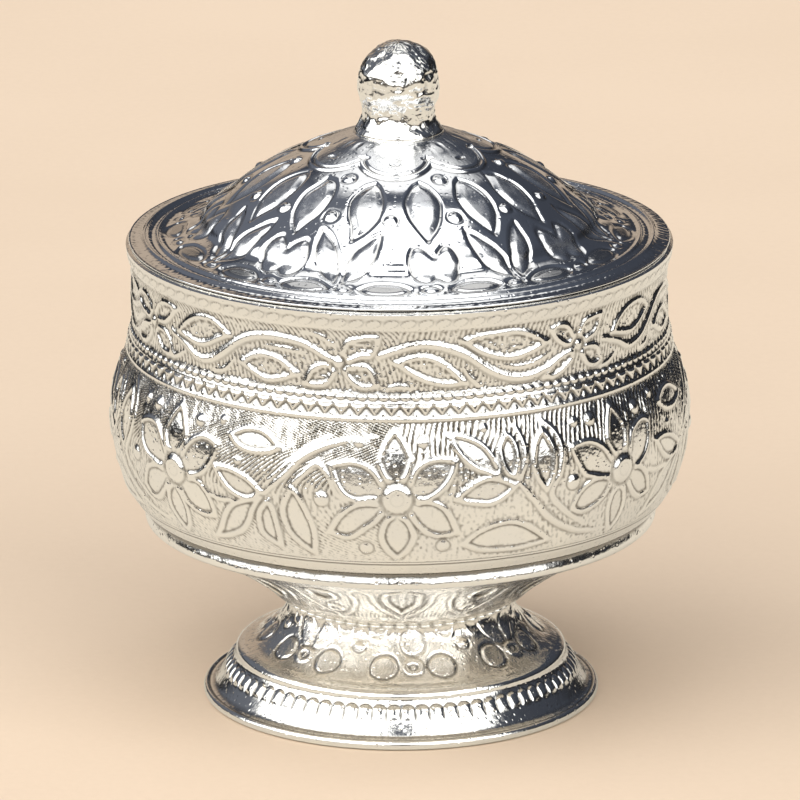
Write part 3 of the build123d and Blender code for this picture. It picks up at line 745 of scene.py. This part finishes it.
def lid_field():
    f = Field(P_LID, 0.0, P_LID.len, NL, 0.125)
    rs = np.random.RandomState(11)
    for k in range(16):
        c = [10.0, 33.0, 53.6, 78.0, 100.5, 123, 145.5, 168, 190.5, 213, 235.5, 258, 280.5, 302.4, 323.0, 346.4][k]
        top = {0: 1.0, 1: 0.4, 2: -2.4, 15: 0.8, 14: -4.2, 13: -0.6}.get(k, rs.uniform(-1.5, 1.5))
        bot = {0: -0.5, 1: 0.0, 2: 1.4, 15: -2.2, 14: 0.5, 13: -0.5}.get(k, rs.uniform(-1.0, 1.0))
        f.plateau([(c + top, 7.2), (c + 4.9, 8.5), (c + 7.3, 10.5), (c + 6.4, 12.4), (c + 3.6, 14.2), (c + bot, 15.9)],
                  [(c - 3.6, 14.2), (c - 6.4, 12.4), (c - 7.3, 10.5), (c - 4.9, 8.5)], p=0.06, g=0.24, wi=0.85, wo=0.24)
    for c in (-48.0, -26.2, -3.0, 21.2, 43.6, 66.0, 89.2, 111.8, 134.3, 156.8, 179.3, 201.8, 224.3, 246.8, 269.2, 291.5):
        f.bead(c, 13.0, 0.80, 0.26, ring=False, rs=0.66)
    for k in range(7):
        f.bead(-28.7 + 51.43 * k, 6.95, 0.76, 0.24, ring=False, rs=0.7)
    hs = [-35.8, 10.3, 55.0, 99.5, 144.5, 189.5, 234.5, 279.4]
    vs = [-57.2, -16.6, 33.0, 77.3, 122.0, 167.0, 212.0, 257.0]
    for c in hs:
        right = [(c, 18.15), (c + 2.4, 17.0), (c + 4.8, 16.5), (c + 7.0, 17.3), (c + 7.8, 18.8), (c + 6.6, 20.3), (c + 3.8, 21.4), (c + 1.4, 21.3), (c, 20.7)]
        left = [(2 * c - a, s) for a, s in right[1:-1]][::-1]
        f.plateau(right, left, p=0.06, g=0.24, wi=0.75, wo=0.24)
    for v in vs:
        for q in (1, -1):
            a = [(v + q * 0.9, 21.9), (v + q * 5.2, 20.6), (v + q * 8.6, 18.9), (v + q * 10.0, 17.0), (v + q * 10.4, 14.8)]
            b = [(v + q * 5.9, 16.0), (v + q * 2.4, 17.8), (v + q * 0.75, 19.9)]
            f.plateau(a, b, p=0.06, g=0.24, wi=0.74, wo=0.24)
    ov = [-45.0, -25.0, -3.8, 19.8, 41.8, 63.5] + [63.5 + 22.864 * k for k in range(1, 11)]
    for i, c in enumerate(ov):
        w = 6.9 if i else 6.6
        a = [(c - w, 22.75), (c - w * 0.62, 21.95), (c, 21.62), (c + w * 0.62, 21.95), (c + w, 22.75)]
        b = [(c + w * 0.62, 23.45), (c, 23.72), (c - w * 0.62, 23.45)]
        f.plateau(a, b, p=0.04, g=0.28, wi=0.40, wo=0.28, crown=-0.10)
        nx = ov[(i + 1) % 16] + (360 if i == 15 else 0)
        f.bead(0.5 * (c + nx), 22.75, 0.92, 0.14, ring=False, rs=0.46, g=0.2)
    S, TU = f.full()
    deg = TU * 360
    H = soften(wobble(f.H, f, S, TU, 0.10, 17), 1)
    # rosette: seven lobes, a raised edge, a sunk ring and a lobed pad with eye slots
    t = ((deg + 3.0 + 25.715) % 51.43) / 25.715 - 1
    sb = 4.45 + 2.30 * (1 - np.abs(t)**2.1)
    slope = 2.30 * 2.1 * np.abs(t)**1.1 / (np.radians(25.715) * f.r[:, None])
    d = (S - sb) / np.sqrt(1 + slope**2)
    zone = S < 8.6
    edge = 0.30 * (0.5 + 0.5 * np.cos(PI * np.clip(np.abs(d + 0.36) / 0.42, 0, 1)))
    pad = 0.22 * sstep(0.78, 1.12, -d + 0.0) * (1 - 0.35 * sstep(0.0, 2.0, 2.4 - S))
    H = np.where(zone & (d < 0.1), np.maximum(edge, pad), H)
    tt = ((deg + 3.0 + 12.857) % 25.715) - 12.857            # fourteen slots
    big = (((deg + 3.0 + 12.857) // 25.715).astype(int) % 2) == 0
    cs_ = np.where(big, 4.1, 3.15)
    q = np.hypot(np.radians(tt) * f.r[:, None] / np.where(big, 0.62, 0.78), (S - cs_) / 0.27)
    H = H - np.where(zone, 0.20 * (1 - sstep(0.5, 1.15, q)), 0)
    # radial flutes near the seat of the knob
    H = H + 0.02 * np.cos(np.radians(deg) * 28 + 2 * vnoise(TU, S, 14, 0.2, 60)) * sstep(0.3, 0.9, S) * (1 - sstep(2.0, 3.0, S))
    base = np.interp(f.s, [0, 0.25, 0.6, 3.0, 6.5, 8.0, 20.8, 21.5, 23.7, 24.2, 24.7, 26.5, 28.0, 40],
                     [0.0, -0.02, -0.16, -0.24, -0.27, -0.27, -0.27, -0.26, -0.24, -0.16, -0.05, -0.03, -0.06, -0.05])[:, None] * np.ones_like(S)
    base = blur1(base, 2, 0)
    u = 0.013 * vnoise(TU, S, 34, 0.33, 61) + 0.009 * vnoise(TU, S, 90, 0.8, 62) + 0.004 * vnoise(TU, S, 260, 2.0, 63)
    H = H + u * (1 - 0.75 * sstep(20.5, 21.5, S))
    # hammered ridges and flange
    mm = TU * 2 * PI * 27.0
    k = sstep(23.9, 24.3, S)
    H = H - 0.012 * k * (0.5 + 0.5 * np.cos(2 * PI * (deg / 360 * 150 + S * 0.55))) * (0.5 + vnoise(TU, S, 150, 0.9, 64))
    H = H + 0.016 * sstep(26.9, 27.1, S) * vnoise(TU, S, 420, 2.2, 67) - 0.018 * sstep(26.9, 27.1, S) * (0.5 + 0.5 * np.cos(2 * PI * (deg / 360 * 190 + S * 0.9 + vnoise(TU, S, 120, 0.3, 66)))) * (0.6 + vnoise(TU, S, 190, 0.6, 65))
    off = np.minimum(base + H, 0.0)
    return f, off, soften(np.clip(f.inside * (S < 21.4) + np.where(zone & (d < -0.9), 0.6, 0), 0, 1), 1)


f, off, pads = lid_field()
shade_cav = cavity(off, f, 0.4, 22)
# the insides of the ovals on the lid's ring are darkened through the same value: painted shade
shade_cav = np.maximum(shade_cav, soften(0.75 * f.inside * (f.s[:, None] > 21.4), 1))
o = np.arange(f.m)
# underside: the pressed dome follows the outside, then the flat land over the rim
ins = Profile([(5.0, 63.28), (5.9, 63.0), (7.9, 62.25), (10.55, 61.25), (13.0, 60.3), (14.8, 59.35), (16.25, 58.4), (17.5, 57.5), (18.65, 56.55), (19.9, 55.65),
               (20.6, 55.15), (21.35, 54.15), (22.3, 53.4), (23.5, 52.75), (24.6, 52.12)], 0.3)
fi = Field(ins, 0.0, ins.len, NL, 0.45)
src = np.clip(((fi.s / ins.len) * 23.2 / f.ds).astype(int), 0, f.m - 1)
rev = blur1(off[src], 3, 1, True)
oi = 0.24 * (np.clip(rev + 0.30, -0.2, 0.3)) / 0.3
oi = oi * np.interp(fi.s, [0, 0.6, ins.len - 1.5, ins.len], [0, 1, 1, 0])[:, None]
inn = ring_points(fi, oi)[::-1]
lip = turned([(29.66, 52.38), (29.70, 52.30), (29.69, 52.20), (29.60, 52.14), (29.4, 52.06), (29.0, 52.055), (26.8, 52.055), (25.0, 52.055)], NL)
top = turned([(4.6, 63.36), (1.8, 63.36), (1.72, 63.42), (1.72, 64.04), (1.8, 64.1), (4.6, 64.1)], NL)
pts = np.concatenate([ring_points(f, off), lip, inn, top])
cv = np.concatenate([shade_cav.ravel(), np.zeros((len(lip) + len(inn) + len(top)) * NL)])
ob = grid_mesh("lid_cover", pts, cv, pad=pads)
place(ob, "lid", "silver_embossed", sl_lid, "lid_shell", mats=(sl_in,))
inner_faces_second(ob, NL, f.m + 4, f.m + len(lip) + len(inn) + 2)


# ---------------------------------------------------------------- knob
NK = 288
P_KNOB = Profile([(4.93, 64.12), (5.02, 64.3), (4.93, 64.55), (4.6, 65.05), (4.35, 65.55), (4.16, 66.15), (4.12, 66.7), (4.24, 67.45), (4.42, 68.1), (4.57, 68.9), (4.62, 69.8),
                  (4.58, 70.6), (4.4, 71.35), (4.05, 72.1), (3.55, 72.85), (2.8, 73.55), (1.85, 74.08), (0.9, 74.33), (0.25, 74.38)][::-1], 0.2)
f = Field(P_KNOB, 0.0, P_KNOB.len, NK, 0.11)
S, TU = f.full()
deg = ((TU * 360 + 180) % 360) - 180
H = 0.22 * vnoise(TU, S, 6, 0.32, 71) + 0.36 * vnoise(TU, S, 10, 0.55, 72) + 0.24 * vnoise(TU, S, 22, 1.2, 73) + 0.07 * vnoise(TU, S, 60, 3.2, 74)
rough_side = 0.35 + 0.65 * np.clip(sstep(12, 40, deg) + sstep(70.9, 72.2, f.z)[:, None] + sstep(-30, -55, deg) * 0.8 + 0.6 * (1 - sstep(67.0, 68.2, f.z))[:, None], 0, 1)
H = H - 0.10 * rough_side * (np.abs(vnoise(TU, S, 18, 0.9, 75)) * 2)**0.7 - 0.07 * rough_side * (np.abs(vnoise(TU, S, 38, 1.9, 76)) * 2)**0.7 + 0.05
H = H * np.interp(P_KNOB.len - f.s, [0, 0.6, 1.6, P_KNOB.len - 3.2, P_KNOB.len - 0.8, P_KNOB.len], [0.15, 0.35, 1, 1, 0.35, 0.1])[:, None]


def dent(c, z, w, hh, depth, lean=0.0):
    zz = f.z[:, None]
    a = np.radians(deg - c) * np.maximum(f.r[:, None], 1.0)
    y = zz - z
    a, y = a + lean * y, y
    return -depth * np.exp(-((a / w)**2 + (y / hh)**2))


H = H + dent(1, 70.9, 1.5, 0.95, 0.20) + dent(-1, 69.85, 0.42, 0.26, 0.24) - 0.5 * dent(2, 69.4, 1.3, 0.35, 0.20) + dent(42, 69.6, 0.4, 1.1, 0.16) + dent(-24, 67.0, 0.9, 1.4, 0.16, 0.3)
H = H + dent(20, 65.7, 0.9, 0.45, 0.10) + dent(-14, 65.8, 0.9, 0.45, 0.10) + dent(0, 64.9, 0.5, 0.3, 0.10) + dent(4, 66.6, 0.16, 1.3, 0.10) + dent(-40, 69.9, 0.25, 1.6, 0.10, 0.2)
H = H + dent(150, 69, 1.2, 1.4, 0.18) + dent(205, 67, 0.8, 1.2, 0.14) + dent(95, 71, 1.0, 0.8, 0.16) + dent(-110, 68.5, 1.1, 1.2, 0.16)
off = np.minimum(-0.05 * np.log1p(np.exp(-(H - 0.13) / 0.05)), 0.0)
outer = ring_points(f, off)
base = turned([(4.90, 64.11), (4.5, 64.10), (3.30, 64.10), (3.21, 64.16), (3.20, 65.7), (3.25, 66.6), (3.5, 68.0), (3.75, 69.5), (3.6, 71.0), (2.7, 72.4), (1.2, 73.1), (0.2, 73.25)], NK)
pts = np.concatenate([outer, base])
cv = np.concatenate([cavity(off, f, 0.5, 14).ravel(), np.zeros(len(base) * NK)])
ob = grid_mesh("knob_bulb", pts, cv, closed=False, caps=("first", "last"))
place(ob, "lid", "silver_plain", sl_knob, "finial_knob")


# ---------------------------------------------------------------- foot
NF = 1216
P_FOOT = Profile([(12.45, 10.9), (12.6, 10.3), (13.0, 9.5), (13.6, 8.65), (14.3, 7.86), (15.0, 7.18), (15.72, 6.6), (16.55, 6.1), (17.35, 5.78), (17.85, 5.62), (18.2, 5.38), (18.42, 5.05),
                  (18.5, 4.72), (19.0, 4.0), (19.85, 3.0), (20.66, 2.05), (21.35, 1.42), (21.72, 1.2), (21.95, 0.85), (22.0, 0.5), (21.9, 0.18), (21.62, 0.01)], 0.14)


def foot_field():
    f = Field(P_FOOT, 0.0, P_FOOT.len, NF, 0.115)
    C0 = 5.4
    for k in range(7):
        c = C0 + 51.43 * k
        f.bead(c, 4.35, 1.18, 0.24, ring=True, rs=0.95)
        for q in (-1, 1):
            cc = c + q * 12.7
            el_ = [(cc + 6.3 * math.sin(t), 4.35 - 1.55 * math.cos(t)) for t in np.arange(12) * PI / 6]
            f.plateau(el_, None, p=0.03, g=0.21, wi=0.34, wo=0.22, crown=0.03)
        f.bead(c + 25.7, 2.1, 0.78, 0.20, ring=False, rs=0.55)
        if k in (0, 2, 5):
            el_ = [(c + 6.4 * math.sin(t), 1.5 - 1.45 * math.cos(t)) for t in np.arange(12) * PI / 6]
            f.plateau(el_, None, p=0.02, g=0.15, wi=0.30, wo=0.20)
        else:
            for q in (-1, 1):
                a = [(c + q * 0.6, 3.3), (c + q * 0.4, 1.6), (c + q * 3.0, 0.25), (c + q * 10.0, 0.1), (c + q * 15.5, 0.35)]
                b = [(c + q * 11.0, 2.0), (c + q * 5.0, 3.3)]
                f.plateau(a, b, p=0.02, g=0.15, wi=0.30, wo=0.20)
        for q in (-1, 1):
            e = c + 25.7 + q * 8.6
            a = [(e - 5.6, 0.1), (e - 3.4, 0.9), (e, 1.25), (e + 3.4, 0.9), (e + 5.6, 0.1)]
            f.cord(a, 0.30, 0.16, 0.3)
    S, TU = f.full()
    deg = TU * 360
    H = soften(wobble(f.H, f, S, TU, 0.08, 27), 1)
    # tongues, 76 round: arched tops, and gaps that deepen to a point at the bottom
    u = (deg / (360 / 76.0) + 0.0) % 1.0 - 0.5
    w = (u + 0.06 * vnoise(TU, S, 76, 0.2, 80)) * 2 * PI * f.r[:, None] / 76.0
    v = np.minimum(S - 10.45, 0.0)
    rho = np.hypot(w / 0.84, v / 0.92)
    down = 1 - sstep(10.75, 11.55, S)
    tongue = 0.21 * np.clip(1 - rho**2, 0, 1)**0.62 - 0.10 * sstep(9.9, 10.6, S) * np.exp(-((np.abs(w) - 0.82) / 0.15)**2)
    H = np.where((S > 9.1) & (S < 12.0), tongue * down, H)
    base = np.interp(f.s, [0, 0.3, 6.6, 7.0, 8.6, 8.95, 12.2, 13.40, 13.75, 20], [-0.05, -0.17, -0.17, -0.03, -0.04, -0.15, -0.44, -0.66, -0.05, -0.02])[:, None] * np.ones_like(S)
    base = blur1(base, 2, 0)
    g = 1 - f.mask
    H = H + (0.012 * vnoise(TU, S, 60, 0.6, 81) + 0.016 * vnoise(TU, S, 170, 1.7, 82) + 0.012 * vnoise(TU, S, 420, 3.0, 87)) * (S < 6.9) * (0.6 + 0.4 * g)
    H = H + 0.012 * vnoise(TU, S, 300, 2.2, 83) * ((S > 8.6) & (S < 9.5))
    H = H + (0.016 * vnoise(TU, S, 260, 2.4, 84) - 0.02 * np.clip(vnoise(TU, S, 420, 1.2, 85) - 0.15, 0, 1)) * sstep(12.2, 12.5, S) * (1 - sstep(14.6, 14.9, S))
    H = H - 0.10 * np.exp(-((S - 13.62) / 0.09)**2) + 0.010 * vnoise(TU, S, 120, 0.8, 86)
    off = np.minimum(base + H, 0.0)
    return f, off


f, off = foot_field()
shade_cav = cavity(off, f)
inp = Profile([(20.45, 0.35), (20.1, 1.3), (19.2, 2.3), (18.2, 3.55), (17.55, 4.6), (16.95, 5.05), (15.95, 5.45), (15.0, 6.05), (14.2, 6.7), (13.45, 7.45), (12.75, 8.35), (12.1, 9.3), (11.66, 10.0)], 0.3)
fi = Field(inp, 0.0, inp.len, NF, 0.4)
src = np.clip(((1 - fi.s / inp.len) * 13.6 / f.ds).astype(int), 0, f.m - 1)
rev = blur1(blur1(off, 1, 0)[src], 2, 1, True)
oi = np.clip(rev + 0.38, 0, 0.38) * 0.45 * np.interp(fi.s, [0, 1.2, inp.len - 1, inp.len], [0, 1, 1, 0])[:, None]
# the inside's own normal points inwards here, so a raised outside is a hollow inside
a = np.radians(fi.th)[None, :]
r = fi.r[:, None] + oi * 0.72; z = fi.z[:, None] + oi * 0.6
inn = np.stack([r * np.sin(a), -r * np.cos(a), z], -1) * 0.001
land = turned([(21.45, 0.0), (20.95, 0.0), (20.65, 0.12)], NF)
plate = turned([(11.4, 10.09), (2.3, 10.1), (2.16, 10.14), (2.15, 10.84), (2.25, 10.9), (12.3, 10.9)], NF)
pts = np.concatenate([ring_points(f, off), land, inn, plate])
cv = np.concatenate([shade_cav.ravel(), np.zeros((len(land) + len(inn) + len(plate)) * NF)])
ob = grid_mesh("foot_base", pts, cv)
place(ob, "bowl", "silver_embossed", sl_foot, "foot_bell", mats=(sl_in, sl_crown))
inner_faces_second(ob, NF, f.m + len(land), f.m + len(land) + len(inn) + 2)
idx = np.zeros(len(ob.data.polygons), np.int32)
ob.data.polygons.foreach_get("material_index", idx)
idx[:int(7.4 / f.ds) * NF] = 2
ob.data.polygons.foreach_set("material_index", idx)


# ---------------------------------------------------------------- dish under the bowl
ND = 1008
P_DISH = Profile([(27.4, 20.25), (26.95, 19.95), (25.9, 19.45), (24.95, 19.0), (22.86, 18.0), (20.98, 17.0), (19.39, 16.0), (18.02, 15.0), (16.8, 14.0), (15.5, 13.0), (14.35, 12.15), (13.3, 11.62)], 0.3)


def dish_field():
    f = Field(P_DISH, 0.0, P_DISH.len, ND, 0.15)
    for k in range(14):
        c = 0.6 + 25.714 * k
        if k % 2 == 0:
            f.leaf([(c, 3.3), (c - 5.6, 6.2), (c - 6.2, 9.4), (c, 13.2)], [(c + 6.2, 9.4), (c + 5.6, 6.2)], w=0.46, h=0.36, dish=0.18, rib=[(c, 5.5), (c, 11.5)], ribh=0.20)
        else:
            f.leaf([(c, 4.6), (c - 4.2, 6.2), (c - 4.6, 8.2), (c, 10.3)], [(c + 4.6, 8.2), (c + 4.2, 6.2)], w=0.44, h=0.36, dish=0.16)
            f.bead(c, 12.2, 1.0, 0.28, ring=True, rs=0.9)
            f.bead(c, 2.7, 0.9, 0.26, ring=False, g=0.1)
        for q in (-1, 1):
            f.cord([(c + q * 1.5, 14.2), (c + q * 6.5, 12.6), (c + q * 9.5, 9.8), (c + q * 9.8, 6.6), (c + q * 12.2, 4.4)], 0.40, 0.26, 0.6)
    S, TU = f.full()
    mm = TU * 2 * PI * f.r[:, None]
    g = 1 - f.mask
    H = soften(wobble(f.H - 0.6 * f.I, f, S, TU, 0.12, 37), 1)
    H = H + g * 0.006 * np.cos(2 * PI * (TU * 210 + S * 0.25 + vnoise(TU, S, 40, 0.4, 91))) * sstep(2.2, 3.0, S) * (1 - sstep(14.0, 14.6, S))
    H = H - 0.05 * np.clip(0.3 + vnoise(TU, S, 300, 1.1, 94) * 2, 0, 1) * sstep(0.3, 0.6, S) * (1 - sstep(1.5, 1.9, S)) * (0.6 + 0.4 * np.cos(2 * PI * TU * 420))
    H = H + 0.022 * vnoise(TU, S, 60, 0.5, 92) + 0.012 * vnoise(TU, S, 200, 1.6, 93)
    base = np.interp(f.s, [0, 1.2, 2.2, 14.2, 15.0, 20], [-0.02, -0.06, -0.38, -0.38, -0.10, -0.02])[:, None] * np.ones_like(S)
    base = blur1(base, 2, 0)
    H = H + 0.16 * np.exp(-((S - 1.9) / 0.28)**2) - 0.08 * np.exp(-((S - 1.35) / 0.12)**2)
    return f, np.minimum(base + H, 0.0)


f, off = dish_field()
shade_cav = cavity(off, f, 0.5, 55)
dinn = [(12.75, 12.4), (13.2, 12.45), (14.0, 12.95), (15.05, 13.72), (16.25, 14.68), (17.45, 15.66), (18.8, 16.64), (20.4, 17.62), (22.4, 18.68), (24.5, 19.70), (25.6, 20.2), (26.25, 20.62), (26.55, 21.1), (26.58, 21.9)]
pi_ = Profile(dinn, 0.3)
fi = Field(pi_, 0.0, pi_.len, ND, 0.4)
src = np.clip(((1 - fi.s / pi_.len) * 15.0 / f.ds).astype(int), 0, f.m - 1)
rev = blur1(blur1(off, 1, 0)[src], 2, 1, True)
oi = np.clip(rev + 0.38, 0, 0.38) * 0.4 * np.interp(fi.s, [0, 1.2, pi_.len - 3.2, pi_.len - 1.6], [0, 1, 1, 0])[:, None]
a = np.radians(fi.th)[None, :]
r = fi.r[:, None] + oi * 0.5; z = fi.z[:, None] - oi * 0.85
inn = np.stack([r * np.sin(a), -r * np.cos(a), z], -1) * 0.001
lip = turned([(26.62, 21.98), (27.30, 21.99), (27.38, 21.93), (27.39, 21.2), (27.4, 20.5)], ND)
hub = turned([(13.1, 11.61), (2.3, 11.6), (2.16, 11.66), (2.15, 12.32), (2.25, 12.4), (12.4, 12.4)], ND)
pts = np.concatenate([ring_points(f, off), hub, inn, lip])
cv = np.concatenate([shade_cav.ravel(), np.zeros((len(hub) + len(inn) + len(lip)) * ND)])
ob = grid_mesh("dish_bottom", pts, cv)
place(ob, "bowl", "silver_embossed", sl_crown, "bowl_dish", mats=(sl_in,))
inner_faces_second(ob, ND, f.m + 3, f.m + len(hub) + len(inn) + len(lip) - 2)


# ---------------------------------------------------------------- waist collar with a beaded edge
NW = 1120
w = []
for k in range(19):
    t = PI / 2 - PI * k / 18
    w.append((12.66 + 0.42 * math.cos(t), 11.25 + 0.34 * math.sin(t)))
ring = turned([(2.3, 11.59)] + [(12.2, 11.59)] + w + [(12.2, 10.91), (2.3, 10.91), (2.16, 10.97), (2.16, 11.53)], NW)
a = np.arange(NW) * 2 * PI / NW
scal = np.abs(np.cos(a * 56 / 2))**0.8      # 56 beads
m_, n_ = ring.shape[:2]
rad = np.hypot(ring[..., 0], ring[..., 1])
outp = np.clip((rad - 0.0123) / 0.0007, 0, 1)
k_ = 1 - (1 - scal[None, :]) * 0.030 * outp
ring = np.stack([ring[..., 0] * k_, ring[..., 1] * k_, 0.01125 + (ring[..., 2] - 0.01125) * (1 - (1 - scal[None, :]) * 0.45 * outp)], -1)
# the gaps between the beads get a cavity value, so the material darkens them: painted shade
ob = grid_mesh("waist_disc", ring, np.repeat(((1 - scal) * 0.6)[None, :], m_, 0) * outp)
place(ob, "bowl", "silver_plain", sl_plain, "waist_collar")


# ---------------------------------------------------------------- carried-over nodes
for name, mat in (("lid_collar", sl_plain), ("foot_screw", br), ("foot_washer", br), ("foot_nut", br), ("finial_stud", br), ("finial_washer", br), ("finial_nut", br)):
    o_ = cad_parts[name]
    o_.data.materials.clear()
    o_.data.materials.append(mat)


# ---------------------------------------------------------------- floor, light, camera
me = bpy.data.meshes.new("floor")
R_ = 0.5
rings = []
for r in (0.0001, 0.02, 0.05, 0.1, 0.18, 0.28, 0.4, R_):
    rings.append([(r * math.cos(2 * PI * k / 64), r * math.sin(2 * PI * k / 64), -0.00002) for k in range(64)])
vv = [v for q in rings for v in q]
ff = [(i * 64 + k, (i + 1) * 64 + k, (i + 1) * 64 + (k + 1) % 64, i * 64 + (k + 1) % 64) for i in range(len(rings) - 1) for k in range(64)]
ff.append(tuple(range(63, -1, -1))[::-1])
me.from_pydata(vv, [], ff)
me.update()
floor = bpy.data.objects.new("floor", me)
bpy.context.scene.collection.objects.link(floor)
fm = bpy.data.materials.new("floor_paper"); fm.use_nodes = True
nt = fm.node_tree; nt.nodes.clear()
out = nt.nodes.new("ShaderNodeOutputMaterial"); b_ = nt.nodes.new("ShaderNodeBsdfPrincipled")
nt.links.new(b_.outputs[0], out.inputs[0])
co = nt.nodes.new("ShaderNodeTexCoord").outputs["Object"]
n1 = tex(nt, "Noise", co, 900.0, Detail=3.0, Roughness=0.6)
n2 = tex(nt, "Noise", co, 22.0, Detail=2.0, Roughness=0.5)
beige = mixcol(nt, (n1 * 0.4 + n2 * 0.6).ss(0.35, 0.65), (0.745, 0.592, 0.452), (0.765, 0.610, 0.468))
# what the metal picks up from the floor is a little paler than the floor itself
direct = nt.nodes.new("ShaderNodeLightPath").outputs["Is Camera Ray"]
nt.links.new(mixcol(nt, G(nt, direct).inv(), beige, (0.715, 0.645, 0.545)), b_.inputs["Base Color"])
b_.inputs["Roughness"].default_value = 0.9
b_.inputs["Specular IOR Level"].default_value = 0.1
nt.links.new(bump(nt, n1, 0.00004, 0.6), b_.inputs["Normal"])
me.materials.append(fm)

world = bpy.data.worlds.new("studio")
bpy.context.scene.world = world
world.use_nodes = True
nt = world.node_tree; nt.nodes.clear()
wo = nt.nodes.new("ShaderNodeOutputWorld"); bg = nt.nodes.new("ShaderNodeBackground")
nt.links.new(bg.outputs[0], wo.inputs[0])
sep = nt.nodes.new("ShaderNodeSeparateXYZ")
nt.links.new(nt.nodes.new("ShaderNodeTexCoord").outputs["Generated"], sep.inputs[0])
X, Y, Z = (G(nt, sep.outputs[k]) for k in range(3))
D = 180 / PI
el = Z.op("ARCSINE") * D
az = X.op("ARCTAN2", Y * -1.0) * D
phi = Z.op("ARCTAN2", Y * -1.0) * D
lat = X.op("ARCSINE") * D
alat, aaz = lat.op("ABSOLUTE"), az.op("ABSOLUTE")
top = el + (aaz - 50.0).op("MAXIMUM", 0.0) * 0.4
front = az.ss(-113, -99) * az.ss(62, 74).inv() * el.ss(3.5, 8.5) * top.ss(70, 80).inv()
over = alat.ss(19, 27).inv() * phi.ss(27, 34) * phi.ss(97, 106).inv()
over2 = alat.ss(11, 18).inv() * phi.ss(113, 119) * phi.ss(134, 143).inv()
spot = alat.ss(6.0, 9.0).inv() * phi.ss(-2, 2) * phi.ss(15, 19).inv()
spot2 = alat.ss(5.6, 7.0).inv() * phi.ss(46, 48) * phi.ss(62, 64).inv()
box = front.op("MAXIMUM", over) * (spot.inv()) * (spot2.inv())
back = aaz.ss(150, 166) * el.ss(8, 13).inv() * el.ss(-2, 1)
dark = mixcol(nt, el.ss(2, 26), (0.018, 0.018, 0.020), (0.050, 0.056, 0.072))
dark = mixcol(nt, el.ss(30, 62), dark, (0.085, 0.097, 0.125))
low = aaz.ss(60, 80).inv() * el.ss(6, 12).inv()
dark = mixcol(nt, low, dark, (0.115, 0.100, 0.085))
lback = az.ss(-178.5, -175) * az.ss(-162, -150).inv() * el.ss(24, 30).inv() * el.ss(8, 12)
left = az.ss(-160, -146) * az.ss(-104, -92).inv() * el.ss(3, 14)
c = mixcol(nt, left, dark, (0.135, 0.146, 0.175))
c = mixcol(nt, back.op("MAXIMUM", lback), c, (0.50, 0.40, 0.31))
c = mixcol(nt, over2, c, (1.15, 1.14, 1.12))
c = mixcol(nt, box, c, (2.2, 2.19, 2.15))
lp = nt.nodes.new("ShaderNodeLightPath")
c = mixcol(nt, G(nt, lp.outputs["Is Camera Ray"]), c, (0.838, 0.680, 0.520))
nt.links.new(c, bg.inputs["Color"])
bg.inputs["Strength"].default_value = 1.0

cam = bpy.data.cameras.new("camera")
co_ = bpy.data.objects.new("camera", cam)
bpy.context.scene.collection.objects.link(co_)
cam.lens = 383.0
cam.sensor_width = 36.0
cam.sensor_fit = "HORIZONTAL"
cam.clip_end = 100
co_.location = (0.0, -0.8994, 0.3034)
co_.rotation_mode = "XYZ"
from mathutils import Matrix, Vector
aim = (Vector((0, 0, 0.03342)) - co_.location).to_track_quat("-Z", "Y").to_matrix()
co_.rotation_euler = (aim @ Matrix.Rotation(math.radians(-0.209), 3, "Z")).to_euler()
bpy.context.scene.camera = co_
bpy.context.scene.view_settings.view_transform = "Standard"
bpy.context.scene.view_settings.look = "None"
